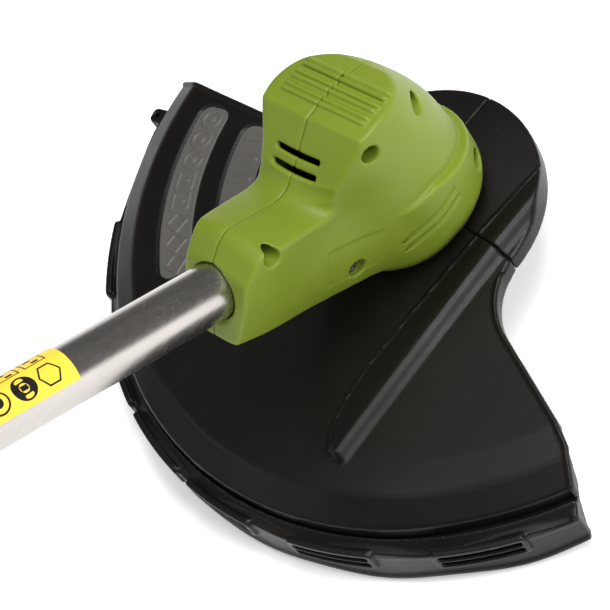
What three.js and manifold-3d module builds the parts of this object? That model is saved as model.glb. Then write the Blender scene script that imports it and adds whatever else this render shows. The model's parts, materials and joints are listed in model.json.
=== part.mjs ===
// String trimmer: a cordless line trimmer with a fan-shaped guard, a split motor housing on the
// lower end of a straight tube, a clamped loop handle and a rear grip with a slide-on battery.
// Millimetres, +Z up. The spool axis is vertical and the tube climbs towards -X.
// The row origin is the middle of the rear grip.
import * as THREE from 'three';
import Module from 'manifold-3d';
import { mergeVertices } from 'three/addons/utils/BufferGeometryUtils.js';

const wasm = await Module();
wasm.setup();

// ---- driving dimensions (mm, degrees) ----
// Every piece is drawn for DRAWN_CIRCLE and enlarged together to the real cutting circle.
const CUTTING_CIRCLE = 300;
const DRAWN_CIRCLE = 263;
const GAP = 0.3;
const TUBE_ANGLE = 29.5;          // climb of the tube above the ground plane
const TUBE_RADIUS = 11.6;
const TUBE_WALL = 1.2;
const TUBE_START = 50;            // distances along the tube from the spool axis
const TUBE_END = 998;
const AXIS_HEIGHT = 10.4;         // where the tube axis would meet the spool axis
const GRIP_AT = 1110;

const GUARD_CENTRE = [21.7, -1.7];   // centre of the guard's rim arc, ahead of the spool axis
const GUARD_CREASE = 146;            // radius where the flat top turns into the bevel
const GUARD_EDGE = 158;              // radius of the bevel's outer edge
const GUARD_CREASE_Z = -12.7;
const GUARD_EDGE_Z = -20;
const GUARD_BOTTOM_Z = -27;
const GUARD_WALL = 2.6;
const LOBE_RADIUS = 57.5;            // round front of the guard, over the spool
const LOBE_BOTTOM_Z = -13;
const SKIRT_RADIUS = 165;
const SKIRT_BOTTOM_Z = -46;

const HOUSING_WALL = 2.6;
const MOTOR_RADIUS = 18;
const MOTOR_BASE_Z = 7.8;
const MOTOR_TOP_Z = 50.2;
const SHAFT_RADIUS = 2.5;
const SPOOL_TOP_Z = -10.5;
const SPOOL_BOTTOM_Z = -33.5;
const SPOOL_RADIUS = 35;
const LINE_PLANE_Z = -23.5;
const LINE_LENGTH = 129;          // tip of the line from the spool axis
const SWEEP_RADIUS = 132.5;       // kept clear for the line
const LINE_RADIUS = 0.8;

const CLAMP_AT = 790;             // auxiliary handle clamp, along the tube
const PIVOT_UP = 26;

// ---- colours ----
const GREEN = 0x89a33c;
const BLACK = 0x1f1d1b;
const GREY = 0x4a4845;
const STEEL = 0x9a9793;
const DARK_STEEL = 0x55534f;
const YELLOW = 0xf2dc4f;
const COPPER = 0xa5622f;
const CELL_BLUE = 0x3f7f8c;

const AXIS_Y = new THREE.Vector3(0, 1, 0);
const AXIS_Z = new THREE.Vector3(0, 0, 1);
const radians = THREE.MathUtils.degToRad;

// ---- solids ----
function toSolid(geometry) {
  const bare = geometry.index ? geometry.toNonIndexed() : geometry.clone();
  bare.deleteAttribute('normal');
  bare.deleteAttribute('uv');
  const merged = mergeVertices(bare, 1e-4);
  const at = merged.attributes.position;
  const a = new THREE.Vector3();
  const b = new THREE.Vector3();
  const c = new THREE.Vector3();
  const triangles = [];
  let volume = 0;
  for (let i = 0; i < merged.index.count; i += 3) {
    const corner = [merged.index.getX(i), merged.index.getX(i + 1), merged.index.getX(i + 2)];
    if (new Set(corner).size < 3) continue;
    triangles.push(corner);
    a.fromBufferAttribute(at, corner[0]);
    b.fromBufferAttribute(at, corner[1]);
    c.fromBufferAttribute(at, corner[2]);
    volume += a.dot(b.cross(c));
  }
  if (volume < 0) triangles.forEach((corner) => corner.reverse());
  return new wasm.Manifold(new wasm.Mesh({
    numProp: 3,
    vertProperties: Float32Array.from(at.array),
    triVerts: Uint32Array.from(triangles.flat()),
  }));
}

function toGeometry(solid) {
  const mesh = solid.getMesh();
  const geometry = new THREE.BufferGeometry();
  geometry.setAttribute('position', new THREE.BufferAttribute(mesh.vertProperties, 3));
  geometry.setIndex(new THREE.BufferAttribute(mesh.triVerts, 1));
  return geometry;
}

const joined = (first, ...others) => others.reduce((sum, next) => sum.add(next), first);
const cut = (first, ...others) => others.reduce((sum, next) => sum.subtract(next), first);

function box(x0, x1, y0, y1, z0, z1) {
  const geometry = new THREE.BoxGeometry(x1 - x0, y1 - y0, z1 - z0);
  return toSolid(geometry.translate((x0 + x1) / 2, (y0 + y1) / 2, (z0 + z1) / 2));
}

// Cylinder or cone between two points.
function rod(from, to, radius, sides = 16, radiusTo = radius) {
  const start = new THREE.Vector3(...from);
  const along = new THREE.Vector3(...to).sub(start);
  const geometry = new THREE.CylinderGeometry(radiusTo, radius, along.length(), sides);
  geometry.translate(0, along.length() / 2, 0);
  geometry.applyQuaternion(new THREE.Quaternion().setFromUnitVectors(AXIS_Y, along.normalize()));
  return toSolid(geometry.translate(start.x, start.y, start.z));
}

// Turned piece about +Z. A profile that does not start and end on the axis is closed into a ring.
function turned(profile, sides = 20) {
  const points = profile.map(([r, z]) => new THREE.Vector2(r, z));
  if (profile[0][0] > 0) points.push(points[0].clone());
  return toSolid(new THREE.LatheGeometry(points, sides).rotateX(Math.PI / 2));
}

function outline(points) {
  return new THREE.Shape(points.map(([x, y]) => new THREE.Vector2(x, y)));
}

// Plan outline raised from z0 to z1.
function slab(points, z0, z1) {
  const settings = { depth: z1 - z0, bevelEnabled: false };
  return toSolid(new THREE.ExtrudeGeometry(outline(points), settings).translate(0, 0, z0));
}

// Side-view outline in X and Z, given width along Y.
function plate(points, y0, y1) {
  const settings = { depth: y1 - y0, bevelEnabled: false };
  const geometry = new THREE.ExtrudeGeometry(outline(points), settings);
  return toSolid(geometry.rotateX(Math.PI / 2).translate(0, y1, 0));
}

// Skin through rings that all have the same number of points, closed by flat fans.
function skin(rings) {
  const corners = [];
  const count = rings[0].length;
  for (let k = 0; k < rings.length - 1; k += 1) {
    for (let i = 0; i < count; i += 1) {
      const j = (i + 1) % count;
      corners.push(rings[k][i], rings[k][j], rings[k + 1][j]);
      corners.push(rings[k][i], rings[k + 1][j], rings[k + 1][i]);
    }
  }
  for (let i = 1; i < count - 1; i += 1) {
    const last = rings.length - 1;
    corners.push(rings[0][0], rings[0][i + 1], rings[0][i]);
    corners.push(rings[last][0], rings[last][i], rings[last][i + 1]);
  }
  return toSolid(new THREE.BufferGeometry().setFromPoints(corners));
}

// Round bar along a smooth path.
function bar(points, radius, steps, sides = 8, closed = false) {
  const path = new THREE.CatmullRomCurve3(points.map((p) => new THREE.Vector3(...p)), closed);
  const section = new THREE.Shape(circle(radius, sides).map(([x, y]) => new THREE.Vector2(x, y)));
  const settings = { steps, bevelEnabled: false, extrudePath: path };
  return toSolid(new THREE.ExtrudeGeometry(section, settings));
}

// Compression spring about the Z axis through (x, y).
class Helix extends THREE.Curve {
  constructor(radius, z0, z1, turns) {
    super();
    Object.assign(this, { radius, z0, z1, turns });
  }

  getPoint(t, target = new THREE.Vector3()) {
    const angle = 2 * Math.PI * this.turns * t;
    return target.set(
      this.radius * Math.cos(angle),
      this.radius * Math.sin(angle),
      this.z0 + (this.z1 - this.z0) * t,
    );
  }
}

function spring(x, y, z0, z1, radius, wire, turns) {
  const path = new Helix(radius, z0 + wire, z1 - wire, turns);
  const section = new THREE.Shape(circle(wire, 4).map(([u, v]) => new THREE.Vector2(u, v)));
  const settings = { steps: turns * 6, bevelEnabled: false, extrudePath: path };
  return toSolid(new THREE.ExtrudeGeometry(section, settings).translate(x, y, 0));
}

// ---- plan curves ----
function circle(radius, sides, centre = [0, 0]) {
  return arc(radius, 0, 360 - 360 / sides, sides - 1, centre);
}

function arc(radius, from, to, steps, centre = [0, 0]) {
  const points = [];
  for (let i = 0; i <= steps; i += 1) {
    const angle = radians(from + ((to - from) * i) / steps);
    points.push([centre[0] + radius * Math.cos(angle), centre[1] + radius * Math.sin(angle)]);
  }
  return points;
}

// Outline moved inwards by a distance; the points run anticlockwise.
function inset(points, distance) {
  return points.map((point, i) => {
    const before = points[(i + points.length - 1) % points.length];
    const after = points[(i + 1) % points.length];
    const a = new THREE.Vector2(point[0] - before[0], point[1] - before[1]).normalize();
    const b = new THREE.Vector2(after[0] - point[0], after[1] - point[1]).normalize();
    const miter = distance / Math.max(0.3, 1 + a.dot(b));
    return [point[0] - (a.y + b.y) * miter, point[1] + (a.x + b.x) * miter];
  });
}

function superellipse(halfX, halfY, power, sides) {
  return circle(1, sides).map(([c, s]) => [
    halfX * Math.sign(c) * Math.abs(c) ** (2 / power),
    halfY * Math.sign(s) * Math.abs(s) ** (2 / power),
  ]);
}

// ---- tree ----
const trimmer = new THREE.Group();
const head = new THREE.Group();
const shaft = new THREE.Group();
trimmer.name = 'string_trimmer';
trimmer.scale.setScalar(CUTTING_CIRCLE / DRAWN_CIRCLE);
head.name = 'head_frame';
shaft.name = 'tube_frame';
const climb = radians(TUBE_ANGLE);
const uphill = new THREE.Vector3(-Math.cos(climb), 0, Math.sin(climb));
head.position.copy(uphill).multiplyScalar(-GRIP_AT);
head.position.z -= AXIS_HEIGHT;
shaft.position.set(0, 0, AXIS_HEIGHT);
shaft.rotation.set(0, climb, Math.PI);     // +X up the tube, +Z out of its top, Y reversed
trimmer.add(head);
head.add(shaft);

function piece(parent, name, solid, color, roughness = 0.55, metalness = 0) {
  const material = new THREE.MeshStandardMaterial({ color, roughness, metalness });
  const mesh = new THREE.Mesh(toGeometry(solid), material);
  mesh.name = name;
  parent.add(mesh);
}

// Tube-frame point in the head frame.
function onTube(s, y, up) {
  return new THREE.Vector3(
    -s * Math.cos(climb) + up * Math.sin(climb),
    -y,
    AXIS_HEIGHT + s * Math.sin(climb) + up * Math.cos(climb),
  );
}

// ---- guard ----
const guardTurned = (profile, sides = 48) =>
  turned(profile, sides).translate(GUARD_CENTRE[0], GUARD_CENTRE[1], 0);

const GUARD_OUTLINE = [
  ...arc(163, 95.5, 234.6, 26, GUARD_CENTRE),
  [-58.4, -125.3],
  [-24.3, -68.3],
  [-18.5, -60.5],
  [-10.5, -57.4],
  ...arc(LOBE_RADIUS, -93, 76, 18),
  [9.6, 62],
  [8, 70],
];

function guardShell() {
  const top = guardTurned([
    [0, 0], [GUARD_CREASE, GUARD_CREASE_Z], [GUARD_EDGE, GUARD_EDGE_Z], [GUARD_EDGE, GUARD_BOTTOM_Z],
    [0, GUARD_BOTTOM_Z],
  ]);
  const hollow = guardTurned([
    [0, -GUARD_WALL],
    [GUARD_CREASE - 0.7, GUARD_CREASE_Z - GUARD_WALL],
    [GUARD_EDGE - GUARD_WALL, GUARD_EDGE_Z - 1.6],
    [GUARD_EDGE - GUARD_WALL, GUARD_BOTTOM_Z - 5],
    [0, GUARD_BOTTOM_Z - 5],
  ]);
  const plan = GUARD_OUTLINE;
  const solid = top.intersect(slab(plan, GUARD_BOTTOM_Z - 1, 5));
  return solid.subtract(hollow.intersect(slab(inset(plan, GUARD_WALL), GUARD_BOTTOM_Z - 9, 5)));
}

// Raised ridge that sweeps across the right side of the guard and over the front cover.
function ridge() {
  const path = [[-106, -50, -9.5], [-70, -48.5, -6], [-35, -48, -4.2], [0, -48.5, -3.4], [24, -46, -3], [38, -39, -3.6]];
  return bar(path, 3.4, 8, 6);
}

// Raised lips along the two straight ends.
function endLips() {
  const left = slab([[5.2, 72], [8, 72], [8, 146], [5.2, 146]], -12, 1.5);
  const right = slab([[-24.3, -68.3], [-26.6, -66.8], [-63, -127.6], [-60.2, -128.8]], -14, 0.5);
  return left.add(right).intersect(guardTurned([[0, 2], [GUARD_CREASE, -10.2], [157, -18], [157, -24], [0, -24]]));
}

// Quarter of the round front that is its own cover, in plan.
function quarter(inner, from, to) {
  const plan = [...arc(inner, to, from, 10), ...arc(LOBE_RADIUS + 8, from, to, 12)];
  return slab(plan, GUARD_BOTTOM_Z - 4, 12);
}

const SCREW_PLAN = [[12, 25], [12, -25], [-14, 25], [-14, -25]];
const CUTTER_SCREWS_Y = [139, 147];

function guard() {
  const body = joined(guardShell(), ridge().intersect(slab(GUARD_OUTLINE, -20, 10)), endLips());
  const shaftHole = rod([0, 0, -20], [0, 0, 20], 13, 24);
  const screwHoles = SCREW_PLAN.map(([x, y]) => rod([x, y, -20], [x, y, 10], 2.1, 8));
  const cutterHoles = CUTTER_SCREWS_Y.map((y) => rod([0, y, -20.5], [20, y, -20.5], 1.8, 8));
  const below = box(-34, 70, -84, 66, -40, LOBE_BOTTOM_Z);
  const sweep = rod([0, 0, -40], [0, 0, -19], SWEEP_RADIUS, 40);
  const fixed = cut(body, shaftHole, below, sweep, quarter(36.4, -92.4, 0.4), ...screwHoles, ...cutterHoles);
  piece(head, 'guard_body', fixed, BLACK, 0.6);
  piece(head, 'guard_front_cover', body.intersect(quarter(36.8, -92, 0)).subtract(below), BLACK, 0.6);
  SCREW_PLAN.forEach(([x, y], i) => {
    const under = -(Math.hypot(x - GUARD_CENTRE[0], y - GUARD_CENTRE[1]) * -GUARD_CREASE_Z) / GUARD_CREASE;
    const seat = under - GUARD_WALL - 0.5;
    piece(head, `guard_screw_${i + 1}`, screw([x, y, seat], AXIS_Z, 3.6, 2.2, 1.7, 12), STEEL, 0.35, 0.9);
  });
}

// Pan-head screw: the head sits behind `seat`, the shank runs along `direction`.
function screw(seat, direction, headRadius, headHeight, shankRadius, length) {
  const profile = [
    [0, -headHeight], [headRadius * 0.7, -headHeight], [headRadius, 0], [shankRadius, 0],
    [shankRadius, length - 1], [0, length],
  ];
  const turn = new THREE.Quaternion().setFromUnitVectors(AXIS_Z, direction);
  const geometry = new THREE.LatheGeometry(profile.map(([r, z]) => new THREE.Vector2(r, z)), 8);
  geometry.rotateX(Math.PI / 2).applyQuaternion(turn).translate(...seat);
  return toSolid(geometry);
}

// Clip-on rim below the guard: a stepped ring that follows the arc, with clip windows and end walls.
const onRim = (solid, angle) => solid.rotate([0, 0, angle]).translate(GUARD_CENTRE[0], GUARD_CENTRE[1], 0);
const RIM_FROM = 97;
const RIM_TO = 234;
const CLIP_ANGLES = [117, 137, 157.5, 177.6, 198.3, 220.6];

function skirt() {
  const ring = guardTurned([
    [152.6, -24], [155, -24], [155, GUARD_BOTTOM_Z - GAP], [GUARD_EDGE + GAP, GUARD_BOTTOM_Z - GAP],
    [GUARD_EDGE + GAP, -24.8], [SKIRT_RADIUS - 1.5, -26], [SKIRT_RADIUS, -28],
    [SKIRT_RADIUS - 0.6, SKIRT_BOTTOM_Z], [SKIRT_RADIUS - 3, SKIRT_BOTTOM_Z], [SKIRT_RADIUS - 2.8, -30.2],
    [152.6, -30.2],
  ]);
  const sector = slab([GUARD_CENTRE, ...arc(200, RIM_FROM, RIM_TO, 20, GUARD_CENTRE)], -60, 0);
  const windows = CLIP_ANGLES.map((angle) =>
    onRim(box(SKIRT_RADIUS - 4.2, SKIRT_RADIUS + 2, -17, 17, -33, -28.6), angle));
  const ends = [RIM_FROM + 0.4, RIM_TO - 0.4].map((angle) =>
    onRim(box(140, SKIRT_RADIUS - 1.2, -1.3, 1.3, SKIRT_BOTTOM_Z, -28), angle));
  const pad = onRim(box(SKIRT_RADIUS - 1.6, SKIRT_RADIUS + 3, -6, 6, -38, -29), RIM_FROM + 3.5);
  return joined(cut(ring.intersect(sector), ...windows), ...ends, pad);
}

// Line cutter: a flat steel blade on the guard's left end wall, its edge at the cutting radius.
function lineCutter() {
  const outlineYZ = [[133, -14], [145, -15], [151, -19.5], [151, -27], [133, -31]];
  const blank = slab(outlineYZ.map(([y, z]) => [-z, y]), 8 + GAP, 9.6).rotate([0, 90, 0]);
  const holes = CUTTER_SCREWS_Y.map((y) => rod([0, y, -20.5], [20, y, -20.5], 1.8, 8));
  piece(head, 'cutter_blade', cut(blank, ...holes), STEEL, 0.3, 1);
  CUTTER_SCREWS_Y.forEach((y, i) => {
    const solid = screw([9.6 + GAP, y, -20.5], new THREE.Vector3(-1, 0, 0), 3, 1.8, 1.5, 8);
    piece(head, `cutter_screw_${i + 1}`, solid, STEEL, 0.35, 0.9);
  });
}

// ---- motor housing ----
// Levels of the dome: height, rear X, front X, half width, roundness.
const DOME = [
  [-8, -36, 36.5, 36, 2],
  [5, -36, 36.5, 36, 2],
  [16, -35.5, 34.5, 34, 2],
  [45, -36, 29.5, 31.5, 2.1],
  [60, -36, 24, 29.5, 2.2],
  [72, -31, 18, 28, 2.3],
  [90, -26, 10, 27.5, 2.5],
];
// Side view of the crown, from the front over the top to the rear.
const CROWN = [
  [60, -10], [60, 20], [33, 40], [27, 54], [21.5, 66], [15.5, 72.5], [6.6, 75.6], [-6.6, 78],
  [-14.5, 79.2], [-17.6, 78], [-23.6, 74], [-37, 63.7], [-60, 46.6], [-60, -10],
];
// Section of the neck across the tube: half width and height at each corner, right side.
const NECK = [[18.2, 23.3], [20.4, 20.6], [21.2, 8], [20.6, -4], [18.6, -12], [15.6, -18], [13, -19]];

function domeSkin(levels, shrink, sides) {
  return skin(levels.map(([z, rear, front, half, power]) => {
    const ring = superellipse((front - rear) / 2 - shrink, half - shrink, power, sides);
    return ring.map(([x, y]) => new THREE.Vector3((rear + front) / 2 + x, y, z));
  }));
}

const dome = () => domeSkin(DOME, 0, 20).intersect(plate(CROWN, -60, 60));

// Hollow of the dome: fewer corners than the outside, set in by the wall.
function domeHollow() {
  const levels = [DOME[0], DOME[2], DOME[4], DOME[6]];
  const under = CROWN.filter((_, i) => i !== 2 && i !== 4 && i !== 7 && i !== 9);
  const crown = under.map(([x, z]) => [x, z - HOUSING_WALL * 1.3]);
  return domeSkin(levels, HOUSING_WALL, 12).intersect(plate(crown, -60, 60));
}

// The last ring leans: its top edge is cut back and its foot reaches up the tube.
function neckRing(s, shrink, widen, leaning) {
  const right = NECK.map(([y, up]) => [y * widen - shrink, up - Math.sign(up) * shrink]);
  const left = right.map(([y, up]) => [-y, up]).reverse();
  return [...right, ...left].map(([y, up]) => {
    const lean = leaning ? Math.max(0, up - 11.6) * 0.5 + (up + 18.3) * 0.05 : 0;
    return onTube(s - lean, y, up);
  });
}

function neck(shrink) {
  const rings = [[12, 1.25], [45, 1.12], [66, 1], [90, 0.94]].map(([s, widen]) => neckRing(s, shrink, widen));
  return skin([...rings, neckRing(shrink ? 92 : 103, shrink, 0.8, !shrink)]);
}

// Screws that close the housing: X, Z, half width of the boss and depth of the seat from the middle.
const HOUSING_SCREWS = [
  { x: 14.8, z: 60.4, seat: 12, out: 30 },
  { x: -13.4, z: 66.9, seat: 12, out: 34 },
  { x: -68.6, z: 69.6, seat: 8, out: 26 },
  { x: -43.4, z: 24.4, seat: 10, out: 30 },
  { x: 22.6, z: 13, seat: 12, out: 34 },
];

function guardTopClearance() {
  const rise = GAP + 0.2;
  return guardTurned([
    [0, rise], [GUARD_CREASE, GUARD_CREASE_Z + rise], [GUARD_CREASE, -60], [0, -60],
  ], 24);
}

function housing() {
  const shell = dome().add(neck(0));
  const hollow = domeHollow().add(neck(HOUSING_WALL));
  const tubeBore = rod(onTube(30, 0, 0).toArray(), onTube(140, 0, 0).toArray(), TUBE_RADIUS + GAP, 16);
  const mouth = rod(onTube(99.5, 0, 0).toArray(), onTube(112, 0, 0).toArray(), TUBE_RADIUS + 0.6, 16, 22);
  const saddle = rod(onTube(52, 0, 0).toArray(), onTube(57, 0, 0).toArray(), 26, 8).intersect(shell);
  const shelves = joined(
    turned([[10.2, 4.2], [40, 4.2], [40, 7.4], [10.2, 7.4]], 12),
    turned([[8, 50.6], [40, 50.6], [40, 53], [8, 53]], 8),
  ).intersect(shell);
  const bosses = HOUSING_SCREWS.map(({ x, z, out }) => rod([x, -out, z], [x, out, z], 4.8, 8).intersect(shell));
  const guardPosts = SCREW_PLAN.map(([x, y]) => rod([x, y, -10], [x, y, 15], 4, 8).intersect(shell));
  const motorRoom = rod([0, 0, 7.4], [0, 0, 50.6], MOTOR_RADIUS + 0.6, 16);
  const cableRoom = rod([-20, 0, 46], [-44, 0, 33], 5, 6);
  const inside = joined(saddle, shelves, ...bosses, ...guardPosts);
  const walled = cut(shell, hollow).add(cut(inside, motorRoom, cableRoom));
  const bored = HOUSING_SCREWS.map(({ x, z, seat, out }) => joined(
    rod([x, -seat - 2.6, z], [x, 15, z], 2, 6),
    rod([x, -out - 20, z], [x, -seat, z], 3.7, 10),
  ));
  const posts = SCREW_PLAN.map(([x, y]) => rod([x, y, -12], [x, y, 10], 2.1, 6));
  const slots = [[-27, 69.3], [-32.6, 66.1]].map(([x, z]) =>
    box(-1.1, 1.1, -11.4, 11.4, -9, 9).rotate([0, -36, 0]).translate(x, 0, z));
  const openings = [tubeBore, mouth, guardTopClearance(), ...bored, ...posts, ...slots];
  const whole = cut(walled, ...openings);
  const clearance = GAP / 2;
  piece(head, 'housing_left', whole.intersect(box(-200, 100, clearance, 100, -50, 150)), GREEN, 0.5);
  piece(head, 'housing_right', whole.intersect(box(-200, 100, -100, -clearance, -50, 150)), GREEN, 0.5);
  HOUSING_SCREWS.forEach(({ x, z, seat }, i) => {
    const shank = screw([x, -seat - GAP, z], AXIS_Y, 3.3, 2.3, 1.6, seat + 10);
    piece(head, `housing_screw_${i + 1}`, shank, DARK_STEEL, 0.35, 0.9);
  });
}

// ---- motor ----
function motor() {
  piece(head, 'motor_can', turned([
    [5, 3.2], [9.6, 3.2], [9.6, MOTOR_BASE_Z], [MOTOR_RADIUS, MOTOR_BASE_Z], [MOTOR_RADIUS, 46],
    [MOTOR_RADIUS - 1.5, 46], [MOTOR_RADIUS - 1.5, 9.8], [8.2, 9.8], [8.2, 3.9], [5, 3.9],
  ]), STEEL, 0.4, 0.9);
  piece(head, 'motor_end_cap', turned([
    [5.3, 45.4], [7, 45.4], [7, 46.3], [MOTOR_RADIUS, 46.3], [MOTOR_RADIUS, MOTOR_TOP_Z], [5.3, MOTOR_TOP_Z],
  ]), BLACK, 0.6);
  [['left', 1], ['right', -1]].forEach(([side, sign]) => {
    const plan = [...arc(16.2, 30, 150, 10), ...arc(14.3, 150, 30, 10)].map(([x, y]) => [x, y * sign]);
    piece(head, `motor_magnet_${side}`, slab(plan, 14, 42), GREY, 0.5, 0.3);
  });
  piece(head, 'bearing_outer_race', turned([[5.9, 4], [7.9, 4], [7.9, 9], [5.9, 9]], 16), STEEL, 0.25, 1);
  piece(head, 'bearing_inner_race', turned([[2.7, 4], [4.6, 4], [4.6, 9], [2.7, 9]], 12), STEEL, 0.25, 1);
  piece(head, 'motor_bushing', turned([[2.8, 45.6], [5, 45.6], [5, 50], [2.8, 50]], 12), COPPER, 0.4, 0.9);
  piece(head, 'motor_armature', turned([
    [2.7, 12], [5, 12], [11.5, 13.5], [12, 16], [13.6, 16], [13.6, 38], [12, 38], [11.5, 40.5], [6, 40.5],
    [6, 44.4], [2.7, 44.4],
  ], 16), COPPER, 0.45, 0.8);
  piece(head, 'motor_shaft', turned([
    [0, -32], [2, -32], [SHAFT_RADIUS, -31.4], [SHAFT_RADIUS, 49.2], [2, 49.7], [0, 49.7],
  ], 12), STEEL, 0.3, 1);
}

// ---- cutting head ----
function cuttingHead() {
  const [top, bottom, outer] = [SPOOL_TOP_Z, SPOOL_BOTTOM_Z, SPOOL_RADIUS];
  const cup = turned([
    [2.8, top], [14, top], [30, top - 1], [outer, top - 5], [outer, bottom], [outer - 2.2, bottom],
    [outer - 2.2, top - 6], [29, top - 3.4], [7.4, top - 2.8], [7.4, -26.2], [2.8, -26.2],
  ], 24);
  const eyeHole = rod([-20, 0, LINE_PLANE_Z], [-50, 0, LINE_PLANE_Z], 4.2, 8);
  const ribs = Array.from({ length: 8 }, (_, i) =>
    box(outer - 1.6, outer + 1.1, -2, 2, -31.5, -17).rotate([0, 0, 22.5 + i * 45]));
  piece(head, 'spool_housing', cut(joined(cup, ...ribs), eyeHole), BLACK, 0.6);
  piece(head, 'spool_cover', turned([
    [18.6, -36.4], [30, -36.4], [outer, -35.2], [outer, bottom - GAP], [outer - 2.8, bottom - GAP],
    [outer - 2.8, -31.4], [outer - 4.4, -31.4], [outer - 4.4, -34.4], [18.6, -34.4],
  ], 24), BLACK, 0.6);
  piece(head, 'line_eyelet', cut(
    joined(
      rod([2.6 - outer, 0, LINE_PLANE_Z], [-outer - 1, 0, LINE_PLANE_Z], 3.8, 8),
      rod([-outer - 0.4, 0, LINE_PLANE_Z], [-outer - 2, 0, LINE_PLANE_Z], 5, 8),
    ),
    rod([-20, 0, LINE_PLANE_Z], [-50, 0, LINE_PLANE_Z], 1.6, 8),
  ), STEEL, 0.3, 1);
  const line = rod([1.6 - outer, 0, LINE_PLANE_Z], [-LINE_LENGTH, 0, LINE_PLANE_Z], LINE_RADIUS, 6);
  piece(head, 'cutting_line', line, GREEN, 0.5);
  piece(head, 'line_spool', turned([
    [9, -17.8], [30, -17.8], [30, -19.4], [17, -19.4], [17, -28.6], [30, -28.6], [30, -30.2], [9, -30.2],
  ]), GREY, 0.6);
  piece(head, 'wound_line', turned([[17.8, -19.7], [27, -19.7], [28, -24], [27, -28.3], [17.8, -28.3]], 12), GREEN, 0.5);
  piece(head, 'bump_knob', turned([
    [0, -48], [11, -48], [15, -45.5], [17.4, -41], [18, -36], [18, -30.5], [14.5, -30.5], [14.5, -40],
    [12, -44.6], [0, -44.6],
  ]), BLACK, 0.6);
  piece(head, 'arbor_nut', turned([[3.2, -26.5], [6, -26.5], [6, -30], [3.2, -30]], 6), STEEL, 0.35, 0.9);
  piece(head, 'bump_spring', spring(0, 0, -44.3, -30.4, 6.2, 0.6, 4), STEEL, 0.3, 1);
}

// ---- tube ----
// Turned piece about the tube axis; the profile gives radius and distance along the tube.
const turnedAlong = (profile, sides = 20) => turned(profile, sides).rotate([0, 90, 0]);

function tube() {
  const bore = TUBE_RADIUS - TUBE_WALL;
  piece(shaft, 'tube', turnedAlong([
    [bore, TUBE_START], [TUBE_RADIUS, TUBE_START], [TUBE_RADIUS, TUBE_END], [bore, TUBE_END],
  ]), STEEL, 0.25, 1);
  const wrap = [...arc(12.2, 100, 260, 9), ...arc(11.9, 260, 100, 9)];
  piece(shaft, 'tube_label', slab(wrap, 174, 262).rotate([0, 90, 0]), YELLOW, 0.5);
  const elbow = onTube(47, 0, 0).toArray();
  piece(head, 'power_cable', joined(
    rod([-19.4, 0, 47.4], elbow, 2.4, 8),
    rod(elbow, onTube(1028, 0, 0).toArray(), 2.4, 8),
  ), BLACK, 0.6);
}

// ---- auxiliary loop handle ----
function auxiliaryHandle() {
  const at = CLAMP_AT;
  const collar = turnedAlong([[12, at - 10], [16.6, at - 10], [16.6, at + 10], [12, at + 10]], 16);
  const lug = joined(box(at - 8, at + 8, -8.5, 8.5, 13, PIVOT_UP), rod([at, -8.5, PIVOT_UP], [at, 8.5, PIVOT_UP], 8, 12));
  const bore = rod([at - 20, 0, 0], [at + 20, 0, 0], 12, 16);
  const split = box(at - 20, at + 20, -0.8, 0.8, 5, 40);
  const boltHole = rod([at, -30, PIVOT_UP], [at, 30, PIVOT_UP], 3.2, 8);
  piece(shaft, 'aux_clamp', cut(joined(collar, lug), bore, split, boltHole), BLACK, 0.6);

  const cheek = (y0, y1) => joined(
    rod([at, y0, PIVOT_UP], [at, y1, PIVOT_UP], 9, 12),
    box(at - 9, at + 9, y0, y1, PIVOT_UP, 50),
  );
  const loop = bar([
    [at, -6, 50], [at, -30, 51], [at, -54, 62], [at, -63, 92], [at, -54, 128], [at, -28, 147], [at, 0, 151],
    [at, 28, 147], [at, 54, 128], [at, 63, 92], [at, 54, 62], [at, 30, 51], [at, 6, 50],
  ], 9, 26, 8);
  const bridge = box(at - 9, at + 9, -14, 14, 43, 59);
  piece(shaft, 'aux_loop', cut(joined(cheek(-14, -9), cheek(9, 14), bridge, loop), boltHole), BLACK, 0.65);

  const head6 = rod([at, -19, PIVOT_UP], [at, -14 - GAP, PIVOT_UP], 5.4, 6);
  piece(shaft, 'aux_bolt', joined(head6, rod([at, -15, PIVOT_UP], [at, 24, PIVOT_UP], 2.9, 8)), STEEL, 0.35, 0.9);
  const lobes = circle(1, 24).map(([c, s], i) => {
    const radius = 12.4 + 2.3 * Math.cos((i * Math.PI) / 2);
    return [c * radius, s * radius];
  });
  const knob = slab(lobes, 0, 16).rotate([-90, 0, 0]).translate(at, 14 + GAP, PIVOT_UP);
  piece(shaft, 'aux_knob', cut(knob, rod([at, 10, PIVOT_UP], [at, 25, PIVOT_UP], 3.2, 8)), GREY, 0.6);
}

// ---- rear handle ----
// Rings of the grip: distance along the tube, half width, top, bottom, roundness.
const GRIP = [
  [962, 15.5, 15.5, -15.5, 2.2],
  [968, 17, 17, -17, 2.3],
  [992, 18, 18.5, -20, 2.4],
  [1006, 18.5, 20, -27, 2.5],
  [1060, 18, 20.5, -27, 2.5],
  [1074, 17, 20, -20.5, 2.4],
  [1110, 16.5, 20, -19.5, 2.4],
  [1145, 17.5, 21, -21, 2.5],
  [1162, 22, 22, -28, 3],
  [1178, 31, 24, -40, 4],
  [1190, 34, 25, -42, 4.5],
  [1262, 34, 24, -42, 4.5],
  [1272, 32, 21, -42, 4.5],
];
const HANDLE_WALL = 2.8;
const HANDLE_SCREWS = [[1011, 12.5], [1088, 6], [1165, -8], [1240, 6]];
const TRIGGER_PIVOT = [1005, -15];

function gripSkin(rings, grow, sides = 16) {
  return skin(rings.map(([s, half, top, bottom, power]) => {
    const ring = superellipse(half + grow, (top - bottom) / 2 + grow, power, sides);
    return ring.map(([y, up]) => new THREE.Vector3(s, y, (top + bottom) / 2 + up));
  }));
}

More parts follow.
